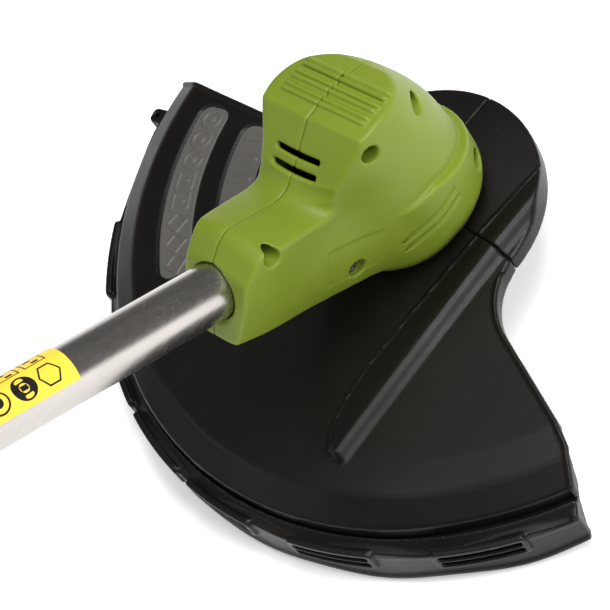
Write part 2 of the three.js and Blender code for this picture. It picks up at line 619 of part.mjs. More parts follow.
function rearHandle() {
  const shell = gripSkin(GRIP, 0);
  const innerRings = GRIP.filter((_, i) => ![1, 6, 8].includes(i)).map((ring) => [...ring]);
  innerRings[0][0] += HANDLE_WALL;
  innerRings[innerRings.length - 1][0] -= HANDLE_WALL;
  const hollow = gripSkin(innerRings, -HANDLE_WALL, 12);
  const [ps, pu] = TRIGGER_PIVOT;
  const inside = joined(
    turnedAlong([[8, 964], [22, 964], [22, 973], [8, 973]], 8),
    turnedAlong([[8, 988], [22, 988], [22, 996], [8, 996]], 8),
    ...HANDLE_SCREWS.map(([s, up]) => rod([s, -40, up], [s, 40, up], 4, 8)),
    rod([ps, -30, pu], [ps, 30, pu], 5, 8),
    box(1174, 1188, -32, 32, -42, -26),
  ).intersect(shell);
  const room = joined(
    rod([950, 0, 0], [TUBE_END + GAP, 0, 0], TUBE_RADIUS + GAP, 16),
    box(1001, 1060, -7, 7, -60, -11),
    box(1023.6, 1046.4, -7.4, 7.4, 10, 40),
    rod([ps, -9.9, pu], [ps, 9.9, pu], 2.8, 8),
    box(1186, 1290, -19, 19, -50, -30),
    box(1187.6, 1290, -24, 24, -37.6, -29.4),
    box(1175.7, 1200, -14.4, 14.4, -37.4, -27.6),
  );
  const drilled = HANDLE_SCREWS.map(([s, up]) => joined(
    rod([s, -12.6, up], [s, 12, up], 1.9, 6),
    rod([s, -60, up], [s, -10, up], 3.5, 8),
  ));
  const whole = cut(cut(shell, hollow).add(inside), room, ...drilled);
  const clearance = GAP / 2;
  piece(shaft, 'handle_left', whole.intersect(box(900, 1400, -100, -clearance, -100, 100)), GREEN, 0.5);
  piece(shaft, 'handle_right', whole.intersect(box(900, 1400, clearance, 100, -100, 100)), GREEN, 0.5);
  HANDLE_SCREWS.forEach(([s, up], i) => {
    const solid = screw([s, -10 - GAP, up], AXIS_Y, 3.1, 2.1, 1.6, 20);
    piece(shaft, `handle_screw_${i + 1}`, solid, DARK_STEEL, 0.35, 0.9);
  });
  const sleeve = GRIP.slice(5, 8);
  const sleeveRings = [[1078, ...sleeve[0].slice(1)], sleeve[1], [1140, ...sleeve[2].slice(1)]];
  const boreRings = sleeveRings.map((ring, i) => [ring[0] + (i - 1) * 4, ...ring.slice(1)]);
  piece(shaft, 'grip_sleeve', cut(gripSkin(sleeveRings, 2.4), gripSkin(boreRings, 0.5)), BLACK, 0.8);
}

function controls() {
  const [ps, pu] = TRIGGER_PIVOT;
  const blade = plate([
    [1002, -12.6], [1056, -12.6], [1058, -20], [1053, -33], [1041, -38], [1022, -40], [1010, -36], [1002, -18],
  ], -6.4, 6.4);
  piece(shaft, 'trigger', joined(blade, rod([ps, -9.5, pu], [ps, 9.5, pu], 2.4, 8)), BLACK, 0.55);
  piece(shaft, 'trigger_spring', spring(1046, 0, -12.3, -4.3, 3, 0.5, 4), STEEL, 0.3, 1);
  piece(shaft, 'switch_body', box(1030, 1062, -7.5, 7.5, -4, 6), GREY, 0.6);
  piece(shaft, 'lock_button', joined(
    box(1024, 1046, -7, 7, 11.4, 25),
    box(1021, 1049, -8.4, 8.4, 11.4, 13.6),
  ), BLACK, 0.55);
  piece(shaft, 'lock_spring', spring(1035, 0, 6.3, 11.1, 4, 0.5, 3), STEEL, 0.3, 1);
  piece(shaft, 'terminal_block', box(1176, 1185.6, -14, 14, -37, -28), GREY, 0.6);
}

// ---- battery ----
const PACK = [
  [1174, 32, -44.5, -70, 5],
  [1178, 36, -42.4, -73, 6],
  [1284, 36, -42.4, -73, 6],
  [1288, 33, -45, -70, 5],
];
const PACK_WALL = 2.2;
const PACK_SPLIT = -58;

function battery() {
  const innerRings = PACK.map(([s, ...rest], i) => [s + (i < 2 ? PACK_WALL : -PACK_WALL), ...rest]);
  const shell = gripSkin(PACK, 0, 20);
  const deck = joined(
    box(1188, 1268, -18.5, 18.5, -46, -36),
    box(1188, 1268, -23.6, 23.6, -37, -30),
  );
  const pocket = box(1279.6, 1300, -10.4, 10.4, -70.4, -40);
  const pocketWall = box(1277.4, 1287, -13, 13, -72, -43).intersect(shell);
  const hollow = gripSkin(innerRings, -PACK_WALL, 20);
  const whole = cut(joined(cut(shell, hollow), pocketWall, deck), pocket);
  piece(shaft, 'battery_case_upper', whole.intersect(box(1100, 1400, -60, 60, PACK_SPLIT + GAP / 2, 0)), BLACK, 0.6);
  piece(shaft, 'battery_case_lower', whole.intersect(box(1100, 1400, -60, 60, -100, PACK_SPLIT - GAP / 2)), GREY, 0.6);
  const cells = Array.from({ length: 5 }, (_, i) => {
    const s = 1187.2 + i * 18.7;
    return rod([s, -32, -57.5], [s, 32, -57.5], 9.1, 10);
  });
  const holder = joined(
    box(1187.2, 1262, -32, -30, -62, -53),
    box(1187.2, 1262, 30, 32, -62, -53),
  );
  piece(shaft, 'battery_cells', joined(holder, ...cells), CELL_BLUE, 0.4, 0.2);
  piece(shaft, 'battery_latch', joined(
    box(1280, 1283, -10, 10, -62, -42.8),
    box(1282, 1291, -10, 10, -62, -53),
  ), GREEN, 0.5);
  piece(shaft, 'latch_spring', spring(1283, 0, -70.1, -62.3, 2.2, 0.4, 4), STEEL, 0.3, 1);
}

guard();
piece(head, 'guard_skirt', skirt(), BLACK, 0.6);
lineCutter();
housing();
motor();
cuttingHead();
tube();
auxiliaryHandle();
rearHandle();
controls();
battery();

export default trimmer;
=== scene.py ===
# String trimmer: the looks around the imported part. Shapes are drawn in the head's and the tube's own
# millimetres, as the part is, and placed in the row frame in metres.
import json
import math

import bmesh
import bpy
import numpy as np
import openvdb
from mathutils import Matrix, Vector


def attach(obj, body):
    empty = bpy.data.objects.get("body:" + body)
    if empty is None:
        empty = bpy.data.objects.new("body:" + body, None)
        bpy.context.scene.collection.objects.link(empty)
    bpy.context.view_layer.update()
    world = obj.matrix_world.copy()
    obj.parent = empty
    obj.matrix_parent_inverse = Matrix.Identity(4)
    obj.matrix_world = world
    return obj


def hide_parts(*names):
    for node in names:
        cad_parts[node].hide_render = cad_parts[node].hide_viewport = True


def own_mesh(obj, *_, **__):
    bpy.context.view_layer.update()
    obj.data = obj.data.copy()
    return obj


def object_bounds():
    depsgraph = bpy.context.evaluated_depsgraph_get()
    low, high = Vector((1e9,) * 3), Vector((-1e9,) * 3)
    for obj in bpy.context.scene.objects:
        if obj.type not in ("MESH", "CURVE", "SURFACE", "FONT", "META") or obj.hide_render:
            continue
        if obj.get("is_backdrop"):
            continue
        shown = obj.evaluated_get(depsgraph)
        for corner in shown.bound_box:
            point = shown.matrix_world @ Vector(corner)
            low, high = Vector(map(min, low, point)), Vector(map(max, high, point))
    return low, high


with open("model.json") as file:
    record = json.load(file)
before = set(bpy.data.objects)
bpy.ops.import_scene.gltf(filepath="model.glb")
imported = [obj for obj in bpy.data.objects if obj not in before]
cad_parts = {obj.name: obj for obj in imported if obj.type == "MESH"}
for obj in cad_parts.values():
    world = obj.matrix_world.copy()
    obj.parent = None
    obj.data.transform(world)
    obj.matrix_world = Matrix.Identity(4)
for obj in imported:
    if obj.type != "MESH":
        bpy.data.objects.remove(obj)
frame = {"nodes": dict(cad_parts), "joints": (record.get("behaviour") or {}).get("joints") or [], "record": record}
CAD_BOX = [list(corner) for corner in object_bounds()]

# ---- driving dimensions: drawn millimetres and degrees ----
CUTTING_CIRCLE = 300
DRAWN_CIRCLE = 263
METRES = CUTTING_CIRCLE / DRAWN_CIRCLE / 1000      # one drawn millimetre
GAP = 0.3
HALF_GAP = 0.14                                    # from the joint line to each half of a shell
TUBE_ANGLE = 29.5
AXIS_HEIGHT = 10.4
TUBE_RADIUS = 11.6
TUBE_WALL = 1.2
TUBE_SPAN = (50, 998)
LABEL_SPAN = (176, 262)

GUARD_CENTRE = (21.7, -1.7)
GUARD_CREASE = (146, -12.7)
GUARD_EDGE = (158, -20)
GUARD_BOTTOM = -27
GUARD_WALL = 2.6
LOBE_RADIUS = 55.8
LOBE_BOTTOM = -13
COVER_INNER = 29
SWEEP_RADIUS = 132.5
SKIRT_RADIUS = 165
SKIRT_BOTTOM = -46
SKIRT_START = 97
CLIP_ANGLES = (126, 147, 162, 178, 198, 220)
HOUSING_WALL = 2.6

SPOOL_AT = Vector(next(j["pos_m"] for j in frame["joints"] if j["name"] == "spool_spin"))
CLIMB = math.radians(TUBE_ANGLE)
COS, SIN = math.cos(CLIMB), math.sin(CLIMB)
HEAD = Matrix.Translation(SPOOL_AT) @ Matrix.Scale(METRES, 4)
SHAFT = HEAD @ Matrix((
    (-COS, 0, SIN, 0),
    (0, -1, 0, 0),
    (SIN, 0, COS, AXIS_HEIGHT),
    (0, 0, 0, 1),
))


# ---- camera, stage and light ----
def added(name, data):
    made = bpy.data.objects.new(name, data)
    bpy.context.scene.collection.objects.link(made)
    return made


def camera():
    data = bpy.data.cameras.new("camera")
    data.sensor_width = 36
    data.lens = 152.85
    data.clip_end = 50
    right = Vector((0.5954, -0.6995, -0.3951))
    upward = Vector((0.77684, 0.37591, 0.50518))
    turn = Matrix((right, upward, right.cross(upward))).transposed()
    view = added("camera", data)
    view.matrix_world = Matrix.Translation(HEAD @ Vector((-273.3, -624.7, 799.1))) @ turn.to_4x4()
    bpy.context.scene.camera = view


def softbox(name, place, size, power):
    data = bpy.data.lights.new(name, "AREA")
    data.shape = "RECTANGLE"
    data.size, data.size_y = size
    data.energy = power
    light = added(name, data)
    light.location = SPOOL_AT + Vector(place)
    light.rotation_euler = (-Vector(place)).to_track_quat("-Z", "Y").to_euler()


def studio():
    world = bpy.data.worlds.new("studio")
    world.use_nodes = True
    nodes, links = world.node_tree.nodes, world.node_tree.links
    height = nodes.new("ShaderNodeSeparateXYZ")
    glow = nodes.new("ShaderNodeValToRGB")
    links.new(nodes.new("ShaderNodeTexCoord").outputs["Generated"], height.inputs[0])
    links.new(height.outputs["Z"], glow.inputs["Fac"])
    links.new(glow.outputs["Color"], nodes["Background"].inputs["Color"])
    stops = [(0.0, 0.85), (0.05, 0.16), (0.32, 0.13), (0.80, 0.13), (0.95, 1.4)]
    while len(glow.color_ramp.elements) < len(stops):
        glow.color_ramp.elements.new(0.5)
    for element, (at, value) in zip(glow.color_ramp.elements, stops):
        element.position, element.color = at, (value, value, value, 1)
    nodes["Background"].inputs["Strength"].default_value = 1.0
    scene = bpy.context.scene
    scene.world = world
    scene.view_settings.view_transform = "Standard"
    softbox("key", (0.3, -1.6, 1.5), (0.9, 0.9), 27)
    softbox("top", (0.5, -0.4, 2.1), (1.2, 0.8), 30)
    softbox("back", (-1.3, 1.2, 1.2), (1.2, 0.4), 3)
    mesh = bpy.data.meshes.new("floor")
    reach = 12
    low = CAD_BOX[0][2] - 0.002
    corners = [(-reach, -reach, low), (reach, -reach, low), (reach, reach, low), (-reach, reach, low)]
    mesh.from_pydata(corners, [], [(0, 1, 2, 3)])
    mesh.materials.append(floor_paper())
    added("floor", mesh)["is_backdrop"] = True


# ---- materials ----
class Recipe:
    """A material's nodes, made with short calls."""

    def __init__(self, name, roughness, metallic=0.0):
        self.material = bpy.data.materials.new(name)
        self.material.use_nodes = True
        self.nodes = self.material.node_tree.nodes
        self.links = self.material.node_tree.links
        self.shader = self.nodes["Principled BSDF"]
        self.shader.inputs["Metallic"].default_value = metallic
        self.shader.inputs["Roughness"].default_value = roughness
        self.place = self.nodes.new("ShaderNodeTexCoord").outputs["Object"]

    def node(self, kind, **values):
        """A new node with some of its inputs set; _ stands for a space in an input's name."""
        node = self.nodes.new("ShaderNode" + kind)
        for name, value in values.items():
            node.inputs[name.replace("_", " ")].default_value = value
        return node

    def stretched(self, scale, turn=(0, 0, 0)):
        node = self.node("Mapping", Scale=scale, Rotation=turn)
        self.links.new(self.place, node.inputs["Vector"])
        return node.outputs["Vector"]

    def noise(self, scale, detail=3, rough=0.55, place=None):
        node = self.node("TexNoise", Scale=scale, Detail=detail, Roughness=rough)
        self.links.new(place or self.place, node.inputs["Vector"])
        return node.outputs["Fac"]

    def ramp(self, value, stops):
        node = self.nodes.new("ShaderNodeValToRGB")
        band = node.color_ramp
        while len(band.elements) < len(stops):
            band.elements.new(0.5)
        for element, (at, colour) in zip(band.elements, stops):
            element.position = at
            element.color = (*colour, 1) if hasattr(colour, "__len__") else (colour, colour, colour, 1)
        self.links.new(value, node.inputs["Fac"])
        return node.outputs["Color"]

    def spread(self, value, low, high):
        node = self.node("MapRange", From_Min=0.3, From_Max=0.7, To_Min=low, To_Max=high)
        self.links.new(value, node.inputs["Value"])
        return node.outputs["Result"]

    def mix(self, amount, first, second, how="MIX"):
        node = self.nodes.new("ShaderNodeMix")
        node.data_type = "RGBA"
        node.blend_type = how
        if isinstance(amount, float):
            node.inputs["Factor"].default_value = amount
        else:
            self.links.new(amount, node.inputs["Factor"])
        for socket, colour in ((node.inputs[6], first), (node.inputs[7], second)):
            if hasattr(colour, "__len__"):
                socket.default_value = (*colour, 1)
            else:
                self.links.new(colour, socket)
        return node.outputs[2]

    def edges(self, low, high):
        """One along raised edges, zero elsewhere."""
        pointiness = self.nodes.new("ShaderNodeNewGeometry").outputs["Pointiness"]
        return self.ramp(pointiness, [(low, 0.0), (high, 1.0)])

    def bump(self, height, depth, before=None):
        node = self.node("Bump", Distance=depth, Strength=1.0)
        self.links.new(height, node.inputs["Height"])
        if before is not None:
            self.links.new(before, node.inputs["Normal"])
        return node.outputs["Normal"]

    def done(self, colour=None, roughness=None, normal=None):
        for name, socket in (("Base Color", colour), ("Roughness", roughness), ("Normal", normal)):
            if socket is not None:
                self.links.new(socket, self.shader.inputs[name])
        return self.material


def shade(colour, factor, lift=0.0):
    return tuple(min(1, c * factor + lift) for c in colour)


def moulded(name, colour, roughness, grain=1500, depth=0.00004, wear=0.25, specular=0.5):
    """Injection-moulded plastic: fine grain, slow shade drift, faint flow marks and paler edges."""
    made = Recipe(name, roughness)
    made.shader.inputs["Specular IOR Level"].default_value = specular
    drift = made.noise(9, 4)
    light = shade(colour, 1.10, 0.002)
    body = made.ramp(drift, [(0.3, shade(colour, 0.88)), (0.5, colour), (0.72, light)])
    speck = made.noise(620, 2, 0.7)
    body = made.mix(made.ramp(speck, [(0.60, 0.0), (0.74, 0.10)]), body, shade(colour, 1.5, 0.02))
    worn = made.mix(1.0, made.edges(0.515, 0.60), (wear, wear, wear), "MULTIPLY")
    body = made.mix(worn, body, shade(colour, 1.6, 0.03))
    smear = made.noise(34, 5, 0.6, made.stretched((1, 1, 2.5)))
    rough = made.spread(smear, roughness - 0.05, roughness + 0.06)
    normal = made.bump(made.noise(grain, 2, 0.5), depth)
    normal = made.bump(made.noise(70, 2, 0.5), 0.00006, normal)
    return made.done(body, rough, normal)


def drawn_metal(name, colour, roughness, along=(1, 1, 1), turn=(0, 0, 0), depth=0.00001):
    """Metal with fine lines in the drawing direction and faint cloudy wear."""
    made = Recipe(name, roughness, 1.0)
    lines = made.noise(900, 3, 0.6, made.stretched(along, turn))
    cloud = made.noise(16, 5, 0.6)
    body = made.mix(made.ramp(cloud, [(0.35, 0.0), (0.7, 0.6)]), colour, shade(colour, 0.86))
    body = made.mix(made.ramp(lines, [(0.42, 0.0), (0.62, 0.35)]), body, shade(colour, 1.12))
    rough = made.spread(made.mix(0.5, lines, cloud), roughness - 0.06, roughness + 0.08)
    return made.done(body, rough, made.bump(lines, depth))


def speckled(name, colour, second, roughness, scale, metallic=0.0, depth=0.00005):
    """A finish with two shades that meet in small patches, such as film, nylon, ink, rubber or wrap."""
    made = Recipe(name, roughness, metallic)
    patches = made.noise(scale, 4, 0.6)
    body = made.ramp(patches, [(0.38, second), (0.62, colour)])
    rough = made.spread(made.noise(scale * 0.4, 3), roughness - 0.06, roughness + 0.08)
    return made.done(body, rough, made.bump(made.noise(scale * 3, 2), depth))


def floor_paper():
    made = Recipe("floor_paper", 0.85)
    made.shader.inputs["Specular IOR Level"].default_value = 0.1
    made.shader.inputs["Emission Color"].default_value = (1, 1, 1, 1)
    made.shader.inputs["Emission Strength"].default_value = 0.35
    return made.done(made.ramp(made.noise(3, 3), [(0.3, (0.93, 0.93, 0.93)), (0.7, (0.95, 0.95, 0.95))]))


MOULDED = {
    "green_plastic": ((0.168, 0.230, 0.018), 0.42, 1400, 0.00003, 0.30, 0.26),
    "black_plastic": ((0.0052, 0.0043, 0.0036), 0.36, 1100, 0.00005, 0.20, 0.22),
    "grey_plastic": ((0.105, 0.098, 0.09), 0.5, 1300, 0.00004, 0.2),
}
METALS = {
    "tube_steel": ((0.50, 0.47, 0.445), 0.24, (0.03, 1, 1), (0, -CLIMB, 0)),
    "steel": ((0.55, 0.54, 0.52), 0.3, (1, 1, 0.2)),
    "dark_steel": ((0.16, 0.155, 0.15), 0.38, (1, 1, 0.3)),
}
SPECKLED = {
    "label": ((0.95, 0.64, 0.056), (0.91, 0.60, 0.050), 0.42, 300, 0.0, 0.00002),
    "nylon_line": ((0.30, 0.42, 0.06), (0.24, 0.35, 0.05), 0.35, 900),
    "copper_parts": ((0.52, 0.22, 0.10), (0.40, 0.16, 0.07), 0.36, 700, 0.9),
    "grip_rubber": ((0.022, 0.022, 0.022), (0.015, 0.015, 0.015), 0.78, 1200, 0.0, 0.0001),
    "cell_wrap": ((0.05, 0.20, 0.27), (0.04, 0.17, 0.23), 0.35, 240),
}


def finishes():
    """One material for each slot of the record."""
    kinds = ((moulded, MOULDED), (drawn_metal, METALS), (speckled, SPECKLED))
    return {name: make(name, *row) for make, rows in kinds for name, row in rows.items()}


# ---- distances: every shape is an array of distances at a block of points, below zero inside ----
class Space:
    """A block of points in drawn millimetres."""

    def __init__(self, low, high, step):
        self.low, self.step = np.array(low, np.float32), step
        axes = [np.arange(a, b + step, step, dtype=np.float32) for a, b in zip(low, high)]
        self.shape = tuple(len(axis) for axis in axes)
        self.x, self.y, self.z = np.meshgrid(*axes, indexing="ij", sparse=True)

    def __iter__(self):
        return iter((self.x, self.y, self.z))


def away(u, v):
    """Distance from the origin of a plane."""
    return np.sqrt(u * u + v * v)


def joined(first, second, soft=0.0):
    if not soft:
        return np.minimum(first, second)
    share = np.clip(0.5 + 0.5 * (second - first) / soft, 0, 1)
    return second + (first - second) * share - soft * share * (1 - share)


def common(first, second, soft=0.0):
    return -joined(-first, -second, soft)


def without(first, second, soft=0.0):
    return common(first, -second, soft)


def drilled(solid, cuts):
    """A solid less a list of shapes, each cut with its own softness."""
    for shape, soft in cuts:
        solid = without(solid, shape, soft)
    return solid


def rod(space, start, end, radius):
    axis = np.subtract(end, start).astype(np.float32)
    length = float(np.linalg.norm(axis))
    axis = axis / length
    offset = [value - at for value, at in zip(space, start)]
    along = sum(o * a for o, a in zip(offset, axis))
    out = np.sqrt(np.maximum(sum(o * o for o in offset) - along * along, 0))
    return np.maximum(out - radius, np.abs(along - length / 2) - length / 2)


def slab(value, middle, half):
    return np.abs(value - middle) - half


def brick(offsets, halves, corner=0.0):
    """A block with rounded corners; offsets are the distances from its middle in three directions."""
    over = [np.abs(o) - h + corner for o, h in zip(offsets, halves)]
    outside = np.sqrt(sum(np.maximum(o, 0) ** 2 for o in over))
    inside = np.minimum(np.maximum(np.maximum(over[0], over[1]), over[2]), 0)
    return outside + inside - corner


def tablet(u, v, half_u, half_v, corner):
    """A rectangle with round corners in a plane."""
    du, dv = np.abs(u) - half_u + corner, np.abs(v) - half_v + corner
    outside = np.sqrt(np.maximum(du, 0) ** 2 + np.maximum(dv, 0) ** 2)
    return outside + np.minimum(np.maximum(du, dv), 0) - corner


def polygon(u, v, corners):
    """Signed distance in a plane to any closed outline."""
    u, v = np.broadcast_arrays(u, v)
    nearest = np.full(u.shape, 1e9, np.float32)
    inside = np.zeros(u.shape, bool)
    for (ax, ay), (bx, by) in zip(corners, [*corners[1:], corners[0]]):
        ex, ey = bx - ax, by - ay
        wu, wv = u - ax, v - ay
        t = np.clip((wu * ex + wv * ey) / (ex * ex + ey * ey), 0, 1)
        nearest = np.minimum(nearest, (wu - t * ex) ** 2 + (wv - t * ey) ** 2)
        if ay != by:
            inside ^= ((ay > v) != (by > v)) & (u < ex * (v - ay) / ey + ax)
    return np.where(inside, -1, 1).astype(np.float32) * np.sqrt(nearest)


def trail(u, v, points):
    """Distance in a plane to an open line, and the share of its length at the nearest place."""
    nearest = np.full(np.broadcast_shapes(u.shape, v.shape), 1e9, np.float32)
    share = np.zeros_like(nearest)
    for i, ((ax, ay), (bx, by)) in enumerate(zip(points, points[1:])):
        ex, ey = bx - ax, by - ay
        t = np.clip(((u - ax) * ex + (v - ay) * ey) / (ex * ex + ey * ey), 0, 1)
        off = (u - ax - t * ex) ** 2 + (v - ay - t * ey) ** 2
        share = np.where(off < nearest, (i + t) / (len(points) - 1), share)
        nearest = np.minimum(nearest, off)
    return np.sqrt(nearest), share


def convex(u, v, corners, soft):
    """Outline that bends one way only; the corners run clockwise round its inside."""
    edges = []
    for (ax, ay), (bx, by) in zip(corners, corners[1:]):
        length = math.hypot(bx - ax, by - ay)
        edges.append(((v - ay) * (bx - ax) - (u - ax) * (by - ay)) / length)
    result = edges[0]
    for edge in edges[1:]:
        result = common(result, edge, soft)
    return result


def curve_at(t, rows, column):
    """Smooth curve through one column of a table whose first column is the place."""
    places = np.array([row[0] for row in rows], float)
    values = np.array([row[column] for row in rows], float)
    slopes = np.gradient(values, places)
    t = np.clip(t, places[0], places[-1])
    i = np.clip(np.searchsorted(places, t, "right") - 1, 0, len(places) - 2)
    span = places[i + 1] - places[i]
    f = (t - places[i]) / span
    ends = values[i] * (1 + 2 * f) * (1 - f) ** 2 + values[i + 1] * f * f * (3 - 2 * f)
    bends = slopes[i] * f * (1 - f) ** 2 - slopes[i + 1] * f * f * (1 - f)
    return (ends + span * bends).astype(np.float32)


def tower(across, other, low, high, half, power):
    """Superellipse between low and high one way, and half wide the other way."""
    middle, reach = (low + high) / 2, (high - low) / 2
    ring = (np.abs((across - middle) / reach) ** power + np.abs(other / half) ** power) ** (1 / power)
    return (ring - 1) * np.minimum(reach, half)


def ramped(value, start, end):
    """Zero at start, one at end, and smooth between them."""
    t = np.clip((value - start) / (end - start), 0, 1)
    return t * t * (3 - 2 * t)


def waves(value, pitch):
    return np.cos(value * 2 * math.pi / pitch)


# ---- pieces ----
def piece(name, mesh, place, slot=None):
    """A drawn mesh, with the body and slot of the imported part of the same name, which it replaces.
    A piece that the pack doesn't have rides on the frame and names its slot."""
    made = added(name, mesh)
    mesh.transform(place)
    slot = slot or SLOT_OF[name]
    mesh.materials.append(FINISH[slot])
    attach(made, BODY_OF.get(name, "frame"))
    if name in frame["nodes"]:
        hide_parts(name)
    return made


def meshed(name, space, distance):
    grid = openvdb.FloatGrid()
    grid.copyFromArray(np.array(np.broadcast_to(distance, space.shape), np.float32, order="C"))
    points, _, quads = grid.convertToPolygons(isovalue=0.0, adaptivity=0.0)
    points = points * space.step + space.low
    a, b, c, d = (points[quads[:, i]] for i in range(4))
    volume = np.einsum("ij,ij->", a, np.cross(b, c)) + np.einsum("ij,ij->", a, np.cross(c, d))
    if volume < 0:
        quads = quads[:, ::-1]
    mesh = bpy.data.meshes.new(name)
    mesh.from_pydata(points.tolist(), [], quads.tolist())
    mesh.shade_smooth()
    return mesh


def carved(name, space, distance, place, slot=None):
    """A piece whose surface is where the distance is zero."""
    return piece(name, meshed(name, space, distance), place, slot)


def weld(mesh):
    """Merges points that coincide, drops faces with no area, and turns all faces outwards."""
    work = bmesh.new()
    work.from_mesh(mesh)
    bmesh.ops.remove_doubles(work, verts=work.verts, dist=1e-4)
    bmesh.ops.dissolve_degenerate(work, edges=work.edges, dist=1e-5)
    bmesh.ops.recalc_face_normals(work, faces=work.faces)
    work.to_mesh(mesh)
    work.free()


def shell(name, points, faces, place, crisp, slot=None):
    """A piece from points and faces, with a sharp edge where it bends by more than crisp degrees."""
    mesh = bpy.data.meshes.new(name)
    mesh.from_pydata(points, [], faces)
    weld(mesh)
    mesh.shade_smooth()
    made = piece(name, mesh, place, slot)
    made.data.set_sharp_from_angle(angle=math.radians(crisp))
    return made


def between_rings(rings, sides, closed=False):
    """Four-sided faces between rings of points, and from the last to the first if closed."""
    faces = []
    for k in range(rings if closed else rings - 1):
        near, far = k * sides, (k + 1) % rings * sides
        faces += [(near + i, near + (i + 1) % sides, far + (i + 1) % sides, far + i) for i in range(sides)]
    return faces


def turned(name, profile, place, sides=96):
    """A piece turned about the frame's Z. A profile off the axis is closed into a ring."""
    angles = np.arange(sides) * 2 * math.pi / sides
    points = [(r * math.cos(t), r * math.sin(t), z) for r, z in profile for t in angles]
    faces = between_rings(len(profile), sides, profile[0][0] > 0)
    return shell(name, points, faces, place, 35)


def driven(place, at, axis):
    """Place of a screw that is driven along the named axis of a frame."""
    return place @ Matrix.Translation(at) @ Matrix.Rotation(math.radians(-90), 4, axis)


# ---- guard ----
def arc(radius, start, end, steps, centre=(0, 0)):
    angles = np.radians(np.linspace(start, end, steps + 1))
    return [(centre[0] + radius * math.cos(a), centre[1] + radius * math.sin(a)) for a in angles]


GUARD_RIGHT = [(-68, -131), (-56, -122), (-50, -113), *arc(32, 153, 106, 10, (-2, -88))]
GUARD_LEFT = [(8.2, 62), (8.2, 95), (9.2, 130), (10.2, 158)]
GUARD_PLAN = [
    *arc(163, 94.0, 234.4, 48, GUARD_CENTRE),
    *GUARD_RIGHT,
    *arc(LOBE_RADIUS, -93, 76, 48),
    (9.6, 62), (9.4, 95),
]
RIDGE_TIP, RIDGE_NOSE = -108, 46
RIDGE_HEIGHT = 3.9
SKIRT_END = [(-56.2, -122.4), (-75.4, -136.8)]
GUSSET_LOW, GUSSET_SLOPE = -46, 1.5
LUG_ANGLE = 100
HUB_RADIUS = 25.5
HUB_TOP = 3.9
PANELS = {"outer": (117, 134, 98.2, 138.5), "inner": (89, 106, 100.6, 127)}


def round_guard(space):
    """Distance from the centre of the rim's arc, and the angle round it."""
    u, v = space.x - GUARD_CENTRE[0], space.y - GUARD_CENTRE[1]
    return away(u, v), np.degrees(np.arctan2(v, u)) % 360


def guard_cone(space, rho):
    (crease, crease_z), (edge, edge_z) = GUARD_CREASE, GUARD_EDGE
    top = (rho * -crease_z + space.z * crease) / math.hypot(crease, crease_z)
    out, down = edge - crease, crease_z - edge_z
    bevel = ((rho - crease) * down + (space.z - crease_z) * out) / math.hypot(out, down)
    return common(common(top, bevel, 1.0), rho - edge, 1.0)


def panel_shape(rho, angle, name):
    inner, outer, start, end = PANELS[name]
    middle = (inner + outer) / 2
    along = np.radians(angle - (start + end) / 2) * middle
    half = math.radians(end - start) / 2 * middle
    return tablet(rho - middle, along, (outer - inner) / 2, half, 6), rho - middle, along


def ridge_height(x, y):
    """A long tongue with a crisp edge on its left, a leaning top, and a round crest on its right."""
    nose = np.clip((RIDGE_TIP + RIDGE_NOSE - x) / RIDGE_NOSE, 0, 1)
    left = -37 - 0.115 * x - 18 * (1 - np.sqrt(1 - nose ** 2))
    crest = -47.5 - 0.06 * x
    width = np.maximum(left - crest, 0.2)
    across = (left - y) / width
    edge = ramped(left - y, -1.0, 1.1) * np.minimum(1.6, width * 0.4)
    lean = (RIDGE_HEIGHT - 1.6) * ramped(across, 0.0, 1.0)
    fall = 1 - ramped(crest - y, 0.2, 5.6)
    bead = 0.45 * (1 - ramped(np.abs(left - y - 0.9), 0, 1.2))
    return (edge + lean + bead) * fall * ramped(x, -108.2, -104)


def guard_relief(space, rho, angle):
    """Height added to the guard's smooth top."""
    x, y = space.x, space.y
    relief = ridge_height(x, y)
    for route in (GUARD_LEFT, GUARD_RIGHT):
        rim, _ = trail(x, y, route)
        relief = relief + 0.9 * (1 - ramped(rim, 1.3, 2.3))
    for name in PANELS:
        relief = relief - 0.9 * ramped(-panel_shape(rho, angle, name)[0], -0.5, 0.5)
    facet = ramped(angle, 205, 222) * (1 - ramped(angle, 236, 240))
    return relief - 1.5 * facet * np.clip((rho - 133) / 13, 0, 1)


def below_gusset(rho, z):
    """Positive under the slanting lower edge of the end walls."""
    return (GUSSET_LOW + (SKIRT_RADIUS - rho) * GUSSET_SLOPE - z) / math.hypot(1, GUSSET_SLOPE)


def beyond_end(space):
    """Positive past the upright plane where guard and skirt end on the right."""
    (near_x, near_y), (far_x, far_y) = SKIRT_END
    run = math.hypot(far_x - near_x, far_y - near_y)
    return ((space.x - near_x) * (near_y - far_y) + (space.y - near_y) * (far_x - near_x)) / run


